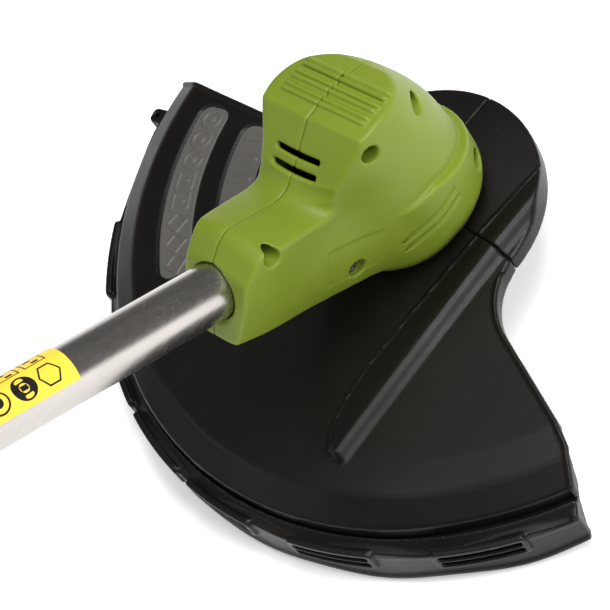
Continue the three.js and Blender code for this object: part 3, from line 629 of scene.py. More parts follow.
def guard_solid(space):
    x, y, z = space
    rho, angle = round_guard(space)
    plan = polygon(x, y, GUARD_PLAN)
    cone = guard_cone(space, rho)
    top = cone - guard_relief(space, rho, angle)
    hub = common(away(x, y) - HUB_RADIUS, z - HUB_TOP, 0.6)
    outside = common(common(joined(top, hub, 1.5), plan, 1.4), GUARD_BOTTOM - z, 0.6)
    hollow = common(cone + GUARD_WALL, plan + GUARD_WALL, 2.0)
    undercut = common(common(7.2 - x, 90 - y, 0.3), cone + GUARD_WALL, 0.3)
    open_end = common(common(-below_gusset(rho, z), cone + 3.0, 0.5), -4 - beyond_end(space), 0.5)
    seat = brick((x - 18, y + 9, z + 28), (52, 75, 28 + LOBE_BOTTOM))
    sweep = rod(space, (0, 0, -60), (0, 0, -19), SWEEP_RADIUS)
    bore = rod(space, (0, 0, -40), (0, 0, 20), 13)
    cuts = [(hollow, 0.8), (undercut, 0.3), (open_end, 0.5), (seat, 1.2), (sweep, 0.5), (bore, 0.5)]
    return drilled(outside, cuts)


def cover_plan(space):
    """Inside the quarter of the round front that is its own cover."""
    x, y, _ = space
    gap = 0.12
    ring = common(COVER_INNER + gap - away(x, y), y + gap, 0.4)
    return common(ring, gap - x + 0.6 + 0.13 * (y + 30), 0.4)


def guard():
    space = Space((-142, -146, -32), (64, 162, 10), 0.7)
    solid = guard_solid(space)
    carved("guard_body", space, common(solid, 0.25 - cover_plan(space), 0.7), HEAD)
    small = Space((-12, -64, -16), (64, 8, 10), 0.6)
    part = common(guard_solid(small), cover_plan(small), 0.7)
    carved("guard_front_cover", small, part, HEAD)


def glyph(kind, u, v):
    """Generic relief shapes for the panels: distance to a thin line drawing."""
    if kind == "ring":
        return np.minimum(np.abs(away(u, v) - 4.4), away(u, v) - 1.2)
    if kind == "square":
        return np.minimum(np.abs(tablet(u, v, 4.0, 4.4, 1)), tablet(u, v, 1.6, 0.5, 0.4))
    if kind == "lozenge":
        return np.abs(np.abs(u) * 0.7 + np.abs(v) * 0.7 - 3.4)
    return tablet(u, v, 5.2, 1.0, 0.9)


def panels():
    rows = {
        "outer": ["ring"] * 3 + ["square"] * 2 + ["lozenge"] * 3,
        "inner": ["bar"] * 4,
    }
    for name, kinds in rows.items():
        inner, outer, start, end = PANELS[name]
        points = arc(outer + 3, start, end, 8, GUARD_CENTRE) + arc(inner - 3, start, end, 8, GUARD_CENTRE)
        low, high = np.min(points, 0) - 3, np.max(points, 0) + 3
        space = Space((*low, -14), (*high, -5), 0.4)
        rho, angle = round_guard(space)
        shape, u, v = panel_shape(rho, angle, name)
        top = guard_cone(space, rho) + 0.55
        pitch = (math.radians(end - start) * (inner + outer) / 2 - 3) / len(kinds)
        lines = np.full(np.broadcast_shapes(u.shape, v.shape), 9.0, np.float32)
        for i, kind in enumerate(kinds):
            at = (i - (len(kinds) - 1) / 2) * pitch
            lines = np.minimum(lines, glyph(kind, u, v - at))
        top = top - 0.5 * (1 - ramped(lines, 0.35, 0.8))
        body = common(common(shape + 0.5, top, 0.4), -(guard_cone(space, rho) + 1.9), 0.2)
        carved(f"guard_panel_{name}", space, body, HEAD, "grey_plastic")


def skirt():
    space = Space((-150, -150, -49), (16, 172, -20), 0.62)
    rho, angle = round_guard(space)
    z = space.z
    ledge = common(common(common(rho - SKIRT_RADIUS, 152.6 - rho, 0.6), -30.4 - z, 0.6), z + 23.6, 0.4)
    slope = ((rho - 157.5) * 4.4 + (z + 24.2) * 6) / math.hypot(4.4, 6)
    ledge = common(ledge, slope, 1.0)
    ledge = without(ledge, tablet(rho - 157, z + 23.6, 1.6, 3.9, 0.3), 0.8)
    wave = 1.1 * np.cos(np.radians(angle * 17.6))
    wall = common(np.abs(rho - SKIRT_RADIUS + 1.6) - 1.5, slab(z, -37, 8.8) - wave, 0.8)
    lip = away(rho - SKIRT_RADIUS + 0.9, z - SKIRT_BOTTOM - 1.2 + wave) - 1.9
    solid = joined(joined(ledge, wall, 1.2), lip, 1.0)
    for centre in CLIP_ANGLES:
        along = np.radians(angle - centre) * SKIRT_RADIUS
        frame_edge = tablet(along, z + 32, 19.5, 5.6, 2.2)
        solid = joined(solid, common(np.abs(rho - SKIRT_RADIUS) - 1.5, frame_edge, 0.7), 0.8)
        for level in (-30.2, -34.5):
            slit = common(np.abs(rho - SKIRT_RADIUS) - 5, tablet(along, z - level, 16.8, 1.5, 0.9), 0.2)
            solid = without(solid, slit, 0.5)
    along = np.radians(angle - LUG_ANGLE) * SKIRT_RADIUS
    lug = common(tablet(rho - SKIRT_RADIUS - 1.2, along, 4.4, 3.6, 2.4), slab(z, -31, 4.5), 0.8)
    eye = away(rho - SKIRT_RADIUS - 2.6, along) - 1.2
    solid = joined(solid, without(lug, eye, 0.3), 0.6)
    ends = np.where(angle > 200, beyond_end(space) + 1.0, -99)
    limit = np.maximum((SKIRT_START - angle) * math.radians(1) * SKIRT_RADIUS, ends)
    end_walls = common(slab(limit, -1.3, 1.3), common(slab(rho, 152.5, 12), slab(z, -36.6, 9.2), 0.6), 0.6)
    end_walls = common(end_walls, below_gusset(rho, z), 0.6)
    solid = common(joined(solid, end_walls, 0.8), limit, 0.8)
    carved("guard_skirt", space, solid, HEAD)


# ---- housing ----
RING_RADIUS = 34.6
DOME = [
    (-8, -36, 33.2, 33.4, 2.0),
    (16, -36, 32.6, 32.0, 2.0),
    (30, -36, 31.4, 31.2, 2.05),
    (45, -36, 29.2, 30.6, 2.1),
    (60, -36, 24.2, 29.8, 2.2),
    (72, -31.5, 18.6, 28.4, 2.35),
    (90, -27, 8, 27.5, 2.5),
]
CROWN = [
    (60, -10), (60, 20), (33, 40), (27.5, 54), (22.5, 67.5), (16, 73.5), (7, 77), (-6.5, 79),
    (-16, 79), (-24, 73.5), (-35, 65.5), (-38, 61), (-38, -10),
]
NECK = [
    (-1, 60), (17.4, 60), (20.2, 20), (21.2, 8), (20.6, -4), (18.6, -13), (15.6, -19.5), (12, -20.6),
    (-1, -20.6),
]
CROWN_BOW, NECK_BOW = 130, 150
NECK_END = [(-40, 23.5), (92.5, 23.5), (96.5, 20.5), (101.5, 11.5), (103, -18.5), (103, -40)]
NECK_WIDTH = [(12, 1.25), (45, 1.10), (66, 1.0), (90, 0.95), (103, 0.80)]
HOUSING_SCREWS = [(14.8, 60.4, 12), (-15.0, 70.2, 12), (-68.6, 69.6, 8), (-43.4, 24.4, 16), (22.6, 13, 12)]
VENTS = [(-27, 69.3), (-32.6, 66.1)]
VENT_SLOPE = math.radians(36)
GROOVE_LEVELS = (17.9, 22.6)
RIBS = [-8.5, -6, -2, 0.5, 4.5, 7]


def bowed(x, y, z):
    """X with the crown's front face drawn back toward its sides, more so lower down."""
    return x - y * y / CROWN_BOW * np.clip((80 - z) / 22, 0, 1)


def housing_outside(space):
    x, y, z = space
    low, high, half, power = (curve_at(z, DOME, i) for i in range(1, 5))
    lean = 1.3 * ramped(z, 48, 76)
    s = -x * COS + (z - AXIS_HEIGHT) * SIN
    up = x * SIN + (z - AXIS_HEIGHT) * COS
    neck = common(convex(np.abs(y + 2 * lean) / curve_at(s, NECK_WIDTH, 1), up, NECK, 1.4), 8 - s, 0.5)
    neck = common(neck, joined(x + 12, up - 20, 4.0), 2.0)
    sides = joined(tower(x, y + lean, low, high, half, power), neck, 8.0)
    crown = polygon(bowed(x, y, z), z, CROWN)
    profile = joined(crown, convex(s, up + y * y / NECK_BOW, NECK_END, 1.0), 12.0)
    out = away(x - 0.6, y)
    ring = common(out - RING_RADIUS, z - 33.4 + 0.36 * np.maximum(x + 2, 0), 1.2)
    sides = joined(sides, ring, 1.0)
    tuck = (out - RING_RADIUS - 0.16 * np.maximum(-x - 5, 0) - 0.6 * (z - 6)) / 1.17
    sides = common(sides, joined(tuck, common(30 - s, -20.6 - up, 1.0), 3.0), 1.5)
    return common(sides, profile, 1.5), s, up


def housing_grooves(x, y, z):
    """Two levels of grooves on each side of the dome."""
    out = away(x - 0.6, y)
    angle = np.degrees(np.arctan2(y, x))
    for level in GROOVE_LEVELS:
        groove = away(out - RING_RADIUS - 0.3, z - level - 0.18 * x) - 1.15
        for middle in (-111, 111):
            yield common(groove, (np.abs(angle - middle) - 28) * 0.6, 0.6), 0.4


def housing_vents(x, y, z):
    cos, sin = math.cos(VENT_SLOPE), math.sin(VENT_SLOPE)
    for at, up in VENTS:
        ahead, above = bowed(x, y, z) - at, z - up
        slot = tablet(ahead * cos + above * sin, y, 1.3, 11.6, 1.0)
        yield common(slot, np.abs(above * cos - ahead * sin) - 7, 0.2), 0.7


def with_bosses(solid, space, outside):
    for x, z, seat in HOUSING_SCREWS:
        boss = common(rod(space, (x, -40, z), (x, 40, z), 5.4), outside + 0.6)
        recess = rod(space, (x, -60, z), (x, -seat - 1.2, z), 3.7)
        pilot = rod(space, (x, -20, z), (x, 14, z), 1.9)
        solid = drilled(joined(solid, boss, 0.6), [(recess, 0.9), (pilot, 0.2)])
    return solid


def housing_solid(space):
    x, y, z = space
    outside, s, up = housing_outside(space)
    ribbed = outside
    for at in RIBS:
        bar = tablet(away(x - at, z - 78.4 + 0.07 * at), y + 2.5, 1.15, 22, 0.6)
        ribbed = joined(ribbed, bar, 0.3)
    solid = without(ribbed, outside + HOUSING_WALL)
    solid = joined(solid, common(slab(z, 6, 1.6), outside + 1))
    solid = drilled(solid, housing_grooves(x, y, z))
    solid = joined(solid, common(slab(s, 90, 8), outside + 0.8))
    solid = drilled(solid, housing_vents(x, y, z))
    solid = with_bosses(solid, space, outside)
    patch = common(tablet(s - 47, up + 3, 13, 8.5, 1), y + 8, 0.1)
    solid = solid + 0.3 * ramped(-patch, -0.5, 0.5)
    notch = brick((s - 99, y + 18.5, up + 17.5), (5, 3.2, 2.2), 1)
    bore = away(up, y)
    tube_room = common(bore - TUBE_RADIUS - GAP, 40 - s)
    mouth = bore - TUBE_RADIUS - 0.08 - np.maximum(s - 101.2, 0) * 1.5
    rho, _ = round_guard(space)
    guard_room = guard_cone(space, rho) - 0.5
    return drilled(solid, [(notch, 0.8), (tube_room, 0.3), (common(mouth, 97 - s), 0.3), (guard_room, 0.3)])


def housing():
    space = Space((-104, -40, -4), (42, 40, 84), 0.65)
    solid = housing_solid(space)
    carved("housing_left", space, common(solid, HALF_GAP - space.y, 0.5), HEAD)
    carved("housing_right", space, common(solid, space.y + HALF_GAP, 0.5), HEAD)
    for i, (sx, sz, seat) in enumerate(HOUSING_SCREWS):
        place = driven(HEAD, (sx, -seat - GAP, sz), "X")
        screw(f"housing_screw_{i + 1}", place, 3.3, 2.3, 1.6, seat + 10)


def screw(name, place, head, height, shank, length):
    """Pan-head screw along +Z, its head behind the origin, with a cross recess."""
    space = Space((-head - 1, -head - 1, -height - 1), (head + 1, head + 1, length + 1), 0.22)
    x, y, z = space
    out = away(x, y)
    ball = away(out, z - head * 0.9) - head * 0.9 - height
    pan = common(common(out - head, slab(z, -height / 2, height / 2), 0.5), ball, 0.4)
    thread = out - shank - 0.18 * waves(z, 1.3)
    stem = common(thread, np.abs(z - length / 2 + 0.5) - length / 2 - 0.5, 0.8)
    cross = np.minimum(
        np.maximum(np.abs(x) - 0.42, np.abs(y) - head * 0.55),
        np.maximum(np.abs(y) - 0.42, np.abs(x) - head * 0.55),
    )
    recess = common(cross, z + height * 0.42, 0.1)
    carved(name, space, without(joined(pan, stem, 0.3), recess, 0.15), place)


# ---- tube and label ----
ALONG_TUBE = SHAFT @ Matrix.Rotation(math.radians(90), 4, "Y")      # +Z up the tube, +X downwards
PRINT_RADIUS = TUBE_RADIUS + 0.42


def tube():
    start, end = TUBE_SPAN
    bore = TUBE_RADIUS - TUBE_WALL
    turned("tube", [
        (bore, start), (TUBE_RADIUS - 0.3, start), (TUBE_RADIUS, start + 0.3),
        (TUBE_RADIUS, end - 0.3), (TUBE_RADIUS - 0.3, end), (bore, end),
    ], ALONG_TUBE, 128)


def wrapped(name, patches, radius, depth, slot=None):
    """Film on the tube. A patch is rows of points, each a place along the tube and an angle."""
    points, faces = [], []
    for rows in patches:
        base, width = len(points), len(rows[0])
        for lift in (0, depth):
            for row in rows:
                size, turns = radius + lift, [math.radians(a) for _, a in row]
                points += [(size * math.cos(t), size * math.sin(t), s) for t, (s, _) in zip(turns, row)]
        layer = len(rows) * width
        for r in range(len(rows) - 1):
            for i in range(width - 1):
                a = base + r * width + i
                faces += [(a, a + 1, a + width + 1, a + width)]
                b = a + layer
                faces += [(b, b + width, b + width + 1, b + 1)]
        rim = [base + i for i in range(width)]
        rim += [base + r * width + width - 1 for r in range(1, len(rows))]
        rim += [base + (len(rows) - 1) * width + i for i in range(width - 2, -1, -1)]
        rim += [base + r * width for r in range(len(rows) - 2, 0, -1)]
        faces += [(p, p + layer, q + layer, q) for p, q in zip(rim, [*rim[1:], rim[0]])]
    shell(name, points, faces, ALONG_TUBE, 40, slot)


def ring_patch(s, angle, inner, outer, corners):
    """A ring on the film, or the outline of a regular shape with straight sides."""
    rows = []
    for size in (inner, outer):
        turns = [i * math.tau / corners for i in range(corners + 1)]
        tips = [(size * math.cos(t), size * math.sin(t)) for t in turns]
        steps = max(1, 36 // corners)
        line = [(a[0] + (b[0] - a[0]) * k / steps, a[1] + (b[1] - a[1]) * k / steps)
                for a, b in zip(tips, tips[1:]) for k in range(steps)]
        rows.append([(s + u, angle + math.degrees(v / PRINT_RADIUS)) for u, v in [*line, tips[-1]]])
    return rows


def bar_patch(s0, s1, a0, a1):
    return [[(s, a) for a in np.linspace(a0, a1, 9)] for s in (s0, s1)]


def box_patches(s, angle, half_s, half_a):
    """The four sides of a box drawn on the film."""
    sides = []
    for way in (-1, 1):
        edge, turn = s + way * half_s, angle + way * half_a
        sides.append(bar_patch(edge - 0.3, edge + 0.3, angle - half_a - 1, angle + half_a + 1))
        sides.append(bar_patch(s - half_s, s + half_s, turn - 1, turn + 1))
    return sides


def label():
    start, end = LABEL_SPAN
    rows = [[(s, a) for a in np.linspace(115, 262, 49)] for s in np.linspace(start, end, 12)]
    wrapped("tube_label", [rows], TUBE_RADIUS + 0.05, 0.35)
    patches = [ring_patch(186, 150, 4.3, 5.1, 6)]
    for s in (197.6, 223, 236):
        patches += [ring_patch(s, 150, 2.0, 5.1, 36), bar_patch(s - 1.6, s + 1.6, 145, 155)]
    patches += [ring_patch(210, 150, 4.3, 5.1, 36), ring_patch(210, 150, 0.05, 2.4, 24)]
    for s in (187, 199, 211, 223, 235):
        patches += box_patches(s, 198, 4.6, 14)
        patches += [bar_patch(s - 2.4, s + 0.6, 188, 194), bar_patch(s - 0.4, s + 2.6, 200, 206)]
    patches.append(bar_patch(248, 254, 124, 240))
    wrapped("tube_label_print", patches, PRINT_RADIUS, 0.05, "black_plastic")


# ---- cutting head ----
SPOOL_TOP, SPOOL_LOW, SPOOL_RADIUS = -10.5, -33.5, 35
LINE_PLANE = -23.5
LINE_TIP = 129
LINE_RADIUS = 0.8


def section(space, corners, repeats):
    """A turned piece about Z: its distance, the radius, and the angle from the middle of a repeat."""
    out = away(space.x, space.y)
    share = 360 / repeats
    angle = np.radians(np.degrees(np.arctan2(space.y, space.x)) % share - share / 2)
    return polygon(out, space.z, corners), out, angle


def spool_housing():
    edge, top, low = SPOOL_RADIUS, SPOOL_TOP, SPOOL_LOW
    space = Space((-38, -38, -35), (38, 38, -9), 0.55)
    cup, out, angle = section(space, [
        (2.8, top), (14, top), (30, top - 1), (edge, top - 5), (edge, low), (edge - 2.2, low),
        (edge - 2.2, top - 6), (29, top - 3.4), (7.4, top - 2.8), (7.4, -26.2), (2.8, -26.2),
    ], 8)
    ribs = tablet(out - edge, angle * edge, 1.1, 2, 0.8)
    ribs = common(ribs, slab(space.z, -24.25, 7.25), 0.6)
    cup = joined(cup + 0.12, ribs, 0.8)
    cup = without(cup, rod(space, (-20, 0, LINE_PLANE), (-50, 0, LINE_PLANE), 4.2), 0.2)
    carved("spool_housing", space, cup, HEAD)


def spool_cover():
    edge, top = SPOOL_RADIUS, SPOOL_LOW - GAP
    space = Space((-37, -37, -38), (37, 37, -30), 0.5)
    cover, out, angle = section(space, [
        (18.6, -36.4), (30, -36.4), (edge, -35.2), (edge, top), (edge - 2.8, top), (edge - 2.8, -31.4),
        (edge - 4.4, -31.4), (edge - 4.4, -34.4), (18.6, -34.4),
    ], 6)
    dents = common(away(out - 26, angle * 26) - 2.6, -space.z - 37.5)
    pads = common(dents, -36.9 - space.z, 0.2)
    carved("spool_cover", space, joined(cover, pads, 0.5), HEAD)


def bump_knob():
    space = Space((-20, -20, -49), (20, 20, -29), 0.4)
    knob, out, angle = section(space, [
        (0, -48), (11, -48), (15, -45.5), (17.4, -41), (18, -36), (18, -30.5), (14.5, -30.5), (14.5, -40),
        (12, -44.6), (0, -44.6),
    ], 12)
    flute = common(away(out - 19.1, angle * 18) - 1.9, slab(space.z, -38.5, 5), 0.8)
    carved("bump_knob", space, without(knob, flute, 0.7), HEAD)


def line_parts():
    turned("line_spool", [
        (9, -17.8), (30, -17.8), (30, -19.4), (17, -19.4), (17, -28.6), (30, -28.6), (30, -30.2), (9, -30.2),
    ], HEAD)
    turns = [(27 + 0.5 * math.cos(2 * math.pi * i / 6), -19.8 - 0.14 * i) for i in range(60)]
    turned("wound_line", [(17.8, -19.8), *turns, (17.8, -28.06)], HEAD)
    edge = SPOOL_RADIUS
    outwards = driven(HEAD, (0, 0, LINE_PLANE), "Y")
    turned("line_eyelet", [
        (1.6, edge - 2.6), (3.8, edge - 2.6), (3.8, edge + 0.4), (5, edge + 0.6), (5, edge + 1.5),
        (4.2, edge + 2), (2.2, edge + 2), (1.6, edge + 1.4),
    ], outwards, 48)
    turned("cutting_line", [
        (0, edge - 1.6), (LINE_RADIUS, edge - 1.6), (LINE_RADIUS, LINE_TIP - 0.3), (0.5, LINE_TIP),
        (0, LINE_TIP),
    ], outwards, 24)


SCREW_PLAN = [(12, 22.5), (12, -22.5), (-13, 22.5), (-13, -22.5)]
CUTTER_SCREWS = (139, 147)


def cutter():
    space = Space((7, 131, -33), (11, 153, -13), 0.3)
    blank = polygon(space.y, space.z, [(133, -15.2), (133, -31), (151, -27), (151, -21), (145, -16.8)])
    blade = common(blank, slab(space.x, 8.95, 0.65), 0.2)
    bevel = (space.x - 9.6) * 0.9 - (space.y - 136) * 0.35
    blade = common(blade, bevel, 0.1)
    for y in CUTTER_SCREWS:
        blade = without(blade, rod(space, (0, y, -20.5), (20, y, -20.5), 1.8), 0.1)
    carved("cutter_blade", space, blade, HEAD)
    for i, y in enumerate(CUTTER_SCREWS):
        place = driven(HEAD, (9.9, y, -20.5), "Y")
        screw(f"cutter_screw_{i + 1}", place, 3, 1.8, 1.5, 8)
    for i, (x, y) in enumerate(SCREW_PLAN):
        crease, crease_z = GUARD_CREASE
        out = math.hypot(x - GUARD_CENTRE[0], y - GUARD_CENTRE[1])
        seat = out * crease_z / crease - GUARD_WALL - 0.5
        screw(f"guard_screw_{i + 1}", HEAD @ Matrix.Translation((x, y, seat)), 3.6, 2.2, 1.7, 12)


# ---- auxiliary handle ----
CLAMP_AT = 790
PIVOT_UP = 26
LOOP_ROUTE = [
    (-6, 50), (-30, 51), (-54, 62), (-63, 92), (-54, 128), (-28, 147), (0, 151),
    (28, 147), (54, 128), (63, 92), (54, 62), (30, 51), (6, 50),
]


def flowing(points, steps):
    """Points on a smooth curve through the given ones."""
    padded = [points[0], *points, points[-1]]
    curve = []
    for a, b, c, d in zip(padded, padded[1:], padded[2:], padded[3:]):
        for t in np.arange(steps) / steps:
            curve.append(tuple(
                0.5 * (2 * q + (r - p) * t + (2 * p - 5 * q + 4 * r - w) * t * t
                       + (3 * q - p - 3 * r + w) * t ** 3)
                for p, q, r, w in zip(a, b, c, d)))
    return [*curve, points[-1]]


def about_pivot(space):
    """Offsets from the loop's pivot along and across the tube, and the distance from it."""
    u, w = space.x - CLAMP_AT, space.z - PIVOT_UP
    return u, w, away(u, w)


def aux_clamp():
    space = Space((CLAMP_AT - 12, -20, -19), (CLAMP_AT + 12, 20, 37), 0.5)
    _, y, z = space
    side, _, pin = about_pivot(space)
    out = away(y, z)
    collar = common(out - 16.6, np.abs(side) - 10, 1.2)
    lug = joined(brick((side, y, z - 19.5), (8, 8.5, 6.5), 0.5), common(pin - 8, np.abs(y) - 8.5, 0.6))
    clamp = without(joined(collar, lug, 2.0), out - 12, 0.4)
    clamp = without(clamp, common(np.abs(y) - 0.8, 5 - z), 0.3)
    carved("aux_clamp", space, without(clamp, pin - 3.2, 0.3), SHAFT)


def aux_loop():
    space = Space((CLAMP_AT - 11, -74, 15), (CLAMP_AT + 11, 74, 162), 0.8)
    _, y, z = space
    side, _, pin = about_pivot(space)
    off, share = trail(y, z, flowing(LOOP_ROUTE, 8))
    grip = ramped(share, 0.28, 0.31) * (1 - ramped(share, 0.69, 0.72))
    ripple = 0.45 * np.cos(share * 2 * math.pi * 58)
    loop = away(off, side) - 8.6 + grip * (0.25 + ripple) * 0.8
    cheek_plan = joined(pin - 9, np.maximum(np.abs(side) - 9, slab(z, 38, 12)))
    cheeks = common(cheek_plan, slab(np.abs(y), 11.5, 2.5), 0.8)
    bridge = brick((side, y, z - 51), (9, 14, 8), 2)
    whole = joined(joined(loop, bridge, 2.0), cheeks, 0.8)
    carved("aux_loop", space, without(whole, pin - 3.2, 0.3), SHAFT)


def aux_knob():
    space = Space((CLAMP_AT - 17, 13, PIVOT_UP - 17), (CLAMP_AT + 17, 32, PIVOT_UP + 17), 0.45)
    y = space.y
    u, w, out = about_pivot(space)
    lobes = out - 12.4 - 2.2 * np.cos(6 * np.arctan2(w, u))
    knob = common(lobes, slab(y, 22.3, 8), 1.6)
    knob = without(knob, common(out - 7, 29 - y), 0.6)
    knob = without(knob, np.maximum(out - 3.2, y - 25))
    carved("aux_knob", space, knob, SHAFT)


def aux_bolt():
    space = Space((CLAMP_AT - 8, -20, PIVOT_UP - 8), (CLAMP_AT + 8, 25, PIVOT_UP + 8), 0.4)
    y = space.y
    u, w, out = about_pivot(space)
    hexagon = np.maximum(np.abs(w), np.abs(u) * 0.866 + np.abs(w) * 0.5) - 4.6
    chamfer = out - 5.2 - (y + 19) * 0.8
    head = common(common(hexagon, slab(y, -16.65, 2.35), 0.2), chamfer, 0.2)
    shank = common(out - 2.8 - 0.12 * np.cos(y * 6.0), slab(y, 4, 20), 0.5)
    carved("aux_bolt", space, joined(head, shank, 0.3), SHAFT)


# ---- rear handle ----
GRIP = [
    (962, 15.5, 15.5, -15.5, 2.2),
    (968, 17, 17, -17, 2.3),
    (992, 18, 18.5, -20, 2.4),
    (1006, 18.5, 20, -27, 2.5),
    (1060, 18, 20.5, -27, 2.5),
    (1074, 17, 20, -20.5, 2.4),
    (1110, 16.5, 20, -19.5, 2.4),
    (1145, 17.5, 21, -21, 2.5),
    (1162, 22, 22, -28, 3),
    (1178, 31, 24, -40, 4),
    (1190, 34, 25, -42, 4.5),
    (1262, 34, 24, -42, 4.5),
    (1272, 32, 21, -42, 4.5),
]
HANDLE_WALL = 2.8
HANDLE_SCREWS = [(1011, 12.5), (1088, 6), (1165, -8), (1240, 6)]
HANDLE_COLLARS = (968.5, 992)
TRIGGER_PIVOT = (1005, -15)
SLEEVE_SPAN = (1078, 1140)
BLOCK_VENTS = (1206, 1214, 1222, 1230)


def grip_outside(space):
    x, y, z = space
    half, top, bottom, power = (curve_at(x, GRIP, i) for i in range(1, 5))
    skin = tower(z, y, bottom, top, half, power)
    middle = (GRIP[0][0] + GRIP[-1][0]) / 2
    return common(skin, slab(x, middle, GRIP[-1][0] - middle), 3.0)


def rear_handle():
    space = Space((959, -37, -45), (1275, 37, 28), 0.8)
    x, y, z = space
    outside = grip_outside(space)
    solid = without(outside, outside + HANDLE_WALL)
    for s, up in HANDLE_SCREWS:
        axis = away(x - s, z - up)
        boss = common(axis - 5.2, outside + 0.8)
        solid = without(joined(solid, boss, 0.6), common(axis - 3.5, y + 10), 0.7)
        solid = without(solid, np.maximum(axis - 1.9, np.abs(y) - 12), 0.2)
    for s in HANDLE_COLLARS:
        solid = joined(solid, common(slab(x, s, 3), outside + 1))
    ps, pu = TRIGGER_PIVOT
    solid = drilled(solid, [
        (brick((x - 1030.5, y, z + 35.5), (29.5, 7, 24.5), 2), 1.2),  # trigger
        (brick((x - 1035, y, z - 25), (11.4, 7.4, 15), 1.5), 1.0),  # lock button
        (rod(space, (ps, -9.9, pu), (ps, 9.9, pu), 2.8), 0),  # pivot
        (np.maximum(away(y, z) - TUBE_RADIUS - GAP, x - TUBE_SPAN[1] - GAP), 0.4),  # tube
        (np.maximum(np.maximum(1186 - x, np.abs(y) - 19), z + 30), 0.5),  # rail's neck
        (np.maximum(np.maximum(1187.6 - x, np.abs(y) - 24), slab(z, -33.5, 4.1)), 0.3),  # rail's head
    ])
    for s in BLOCK_VENTS:
        slot = tablet(x - s - (z + 8) * 0.35, z + 8, 1.3, 11, 1.2)
        solid = without(solid, common(slot, 26 - np.abs(y)), 0.7)
    panel = tablet(x - 1230, z - 4, 30, 14.5, 5)
    outline = common(np.abs(panel) - 0.5, 20 - np.abs(y))
    solid = drilled(solid, [
        (common(outline, -(outside + 0.7), 0.1), 0.3),
        (common(slab(x, 1070, 0.7), -(outside + 0.8), 0.1), 0.4),
    ])
    carved("handle_left", space, common(solid, y + HALF_GAP, 0.5), SHAFT)
    carved("handle_right", space, common(solid, HALF_GAP - y, 0.5), SHAFT)
    for i, (s, up) in enumerate(HANDLE_SCREWS):
        place = driven(SHAFT, (s, -10 - GAP, up), "X")
        screw(f"handle_screw_{i + 1}", place, 3.1, 2.1, 1.6, 20)


def grip_sleeve():
    start, end = SLEEVE_SPAN
    space = Space((start - 3, -24, -28), (end + 3, 24, 28), 0.6)
    x, y, z = space
    outside = grip_outside(space)
    from_middle = np.abs(x - (start + end) / 2)
    pattern = waves(x, 6.2) * np.cos(np.arctan2(z, y) * 13)
    tread = 0.45 * ramped(pattern, 0.1, 0.5) * (1 - ramped(from_middle, 24, 28))
    sleeve = common(outside - 2.3 + 0.4 - tread, from_middle - (end - start) / 2, 1.6)
    carved("grip_sleeve", space, without(sleeve, outside - 0.4), SHAFT)


def trigger():
    space = Space((999, -11, -43), (1061, 11, -9), 0.5)
    x, y, z = space
    front = [(1004, -24), (1009, -34), (1022, -39.5), (1040, -37.4), (1052, -32.5), (1056.8, -22)]
    blade = polygon(x, z, [(1002.4, -12.8), (1002.4, -18), *flowing(front, 6), (1056, -12.8)])
    blade = common(blade, np.abs(y) - 6.3, 1.8)
    blade = blade + 0.35 * ramped(waves(x, 5), 0.3, 0.9) * ramped(-z, 33, 35)
    ps, pu = TRIGGER_PIVOT
    pin = np.maximum(away(x - ps, z - pu) - 2.4, np.abs(y) - 9.5)
    carved("trigger", space, joined(blade, pin, 0.4), SHAFT)


def lock_button():
    space = Space((1019, -10, 10), (1051, 10, 27), 0.4)
    x, y, z = space
    button = brick((x - 1035, y, z - 18.2), (11, 7, 6.8), 1.6)
    flange = brick((x - 1035, y, z - 12.5), (14, 8.4, 1.1), 0.4)
    ribs = 0.5 * ramped(waves(x, 4), 0.2, 0.8) * ramped(z, 23.6, 24.6)
    carved("lock_button", space, joined(button + ribs, flange, 0.4), SHAFT)


# ---- battery ----
PACK_SPLIT = -58
PACK_WALL = 2.2


def battery():
    space = Space((1172, -38, -75), (1290, 38, -28), 0.7)
    x, y, z = space
    case = brick((x - 1231, y, z + 57.7), (57, 36, 15.3), 6)
    hollow = case + PACK_WALL
    deck = joined(
        brick((x - 1228, y, z + 41), (40, 18.5, 5), 0.6),
        brick((x - 1228, y, z + 33.5), (40, 23.6, 3.5), 0.8),
    )
    wall = common(brick((x - 1284, y, z + 57.5), (6.6, 13, 14.5)), case + 0.4)
    pocket = np.maximum(np.maximum(1279.6 - x, np.abs(y) - 10.4), slab(z, -55.2, 15.2))
    solid = without(joined(joined(without(case, hollow), wall), deck, 0.8), pocket, 0.5)
    ribs = tablet(slab(x, 1231, 24), z + 64.5, 14, 0.9, 0.8)
    ribs = np.minimum(ribs, tablet(slab(x, 1231, 24), z + 67.8, 14, 0.9, 0.8))
    solid = without(solid, common(ribs, 34.9 - np.abs(y), 0.1), 0.5)
    arrow = np.abs(tablet(x - 1231, np.abs(y) - 22, 34, 5.5, 4)) - 0.45
    solid = without(solid, common(arrow, z + 72.2, 0.1), 0.4)
    carved("battery_case_upper", space, common(solid, PACK_SPLIT + HALF_GAP - z, 0.5), SHAFT)
    carved("battery_case_lower", space, common(solid, z - PACK_SPLIT + HALF_GAP, 0.5), SHAFT)


def battery_latch():
    space = Space((1278, -12, -64), (1293, 12, -41), 0.4)
    x, y, z = space
    tongue = brick((x - 1281.5, y, z + 52.4), (1.5, 10, 9.6), 0.4)
    pad = brick((x - 1286.5, y, z + 57.5), (4.5, 10, 4.5), 1.2)
    ridges = 0.45 * ramped(waves(z, 2.4), 0.2, 0.8) * ramped(x, 1289.4, 1290.2)
    carved("battery_latch", space, joined(tongue, pad + ridges, 0.5), SHAFT)


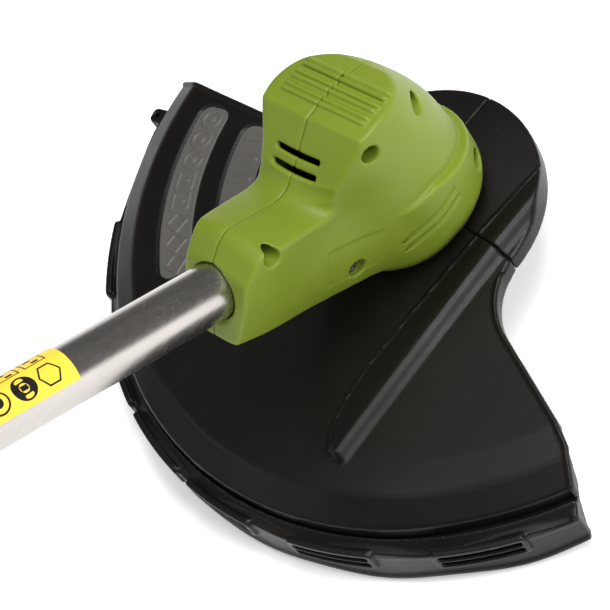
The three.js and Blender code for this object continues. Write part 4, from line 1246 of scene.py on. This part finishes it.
# ---- springs: coils between their seats, each with a mesh of its own ----
SPRING_SIDES = 10
SPRING_STEPS = 30
SPRINGS = {  # place and x; span; radius, wire and turns; joint; fixed end; share kept at the limit
    "bump_spring": (HEAD, 0, (-44.3, -30.4), (6.2, 0.6, 4), "bump_feed", -30.4, 0.77),
    "trigger_spring": (SHAFT, 1046, (-12.3, -4.3), (3, 0.5, 4), "trigger_pull", -4.3, 0.35),
    "lock_spring": (SHAFT, 1035, (6.3, 11.1), (4, 0.5, 3), "lock_off_press", 6.3, 0.48),
    "latch_spring": (SHAFT, 1283, (-70.1, -62.3), (2.2, 0.4, 4), "latch_press", -70.1, 0.55),
}


def coil(name, place, x, span, size):
    """Compression spring along Z, with closed ends."""
    radius, wire, turns = size
    low, high = span[0] + wire, span[1] - wire
    rings = SPRING_STEPS * turns + 1
    points = []
    for t in np.linspace(0, 1, rings):
        turn = t * turns * math.tau
        for edge in np.arange(SPRING_SIDES) * math.tau / SPRING_SIDES:
            out = radius + wire * math.cos(edge)
            up = low + (high - low) * t + wire * math.sin(edge)
            points.append((x + out * math.cos(turn), out * math.sin(turn), up))
    first = range(SPRING_SIDES)
    last = [len(points) - SPRING_SIDES + i for i in first]
    faces = [*between_rings(rings, SPRING_SIDES), tuple(first), tuple(last)]
    return shell(name, points, faces, place, 50)


def springs():
    for name, (place, x, span, size, joint, fixed, keep) in SPRINGS.items():
        axis = (place.to_3x3() @ Vector((0, 0, 1))).normalized()
        anchor = place @ Vector((x, 0, fixed))
        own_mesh(coil(name, place, x, span, size), joint, axis=tuple(axis), anchor=tuple(anchor), keep=keep)


SLOT_OF = {row["node"]: row["material_slot"] for row in frame["record"]["subparts"]}
BODY_OF = {node: body for body, nodes in frame["record"]["behaviour"]["bodies"].items() for node in nodes}
FINISH = finishes()
for build in (
    camera, studio, guard, panels, skirt, housing, tube, label, spool_housing, spool_cover, bump_knob,
    line_parts, cutter, aux_clamp, aux_loop, aux_knob, aux_bolt, rear_handle, grip_sleeve, trigger,
    lock_button, battery, battery_latch, springs,
):
    build()

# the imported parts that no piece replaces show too, so each gets its finish
for name, node in frame["nodes"].items():
    node.data.materials.clear()
    node.data.materials.append(FINISH[SLOT_OF[name]])

{"cad": CAD_BOX, "visual": [list(corner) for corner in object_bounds()]}
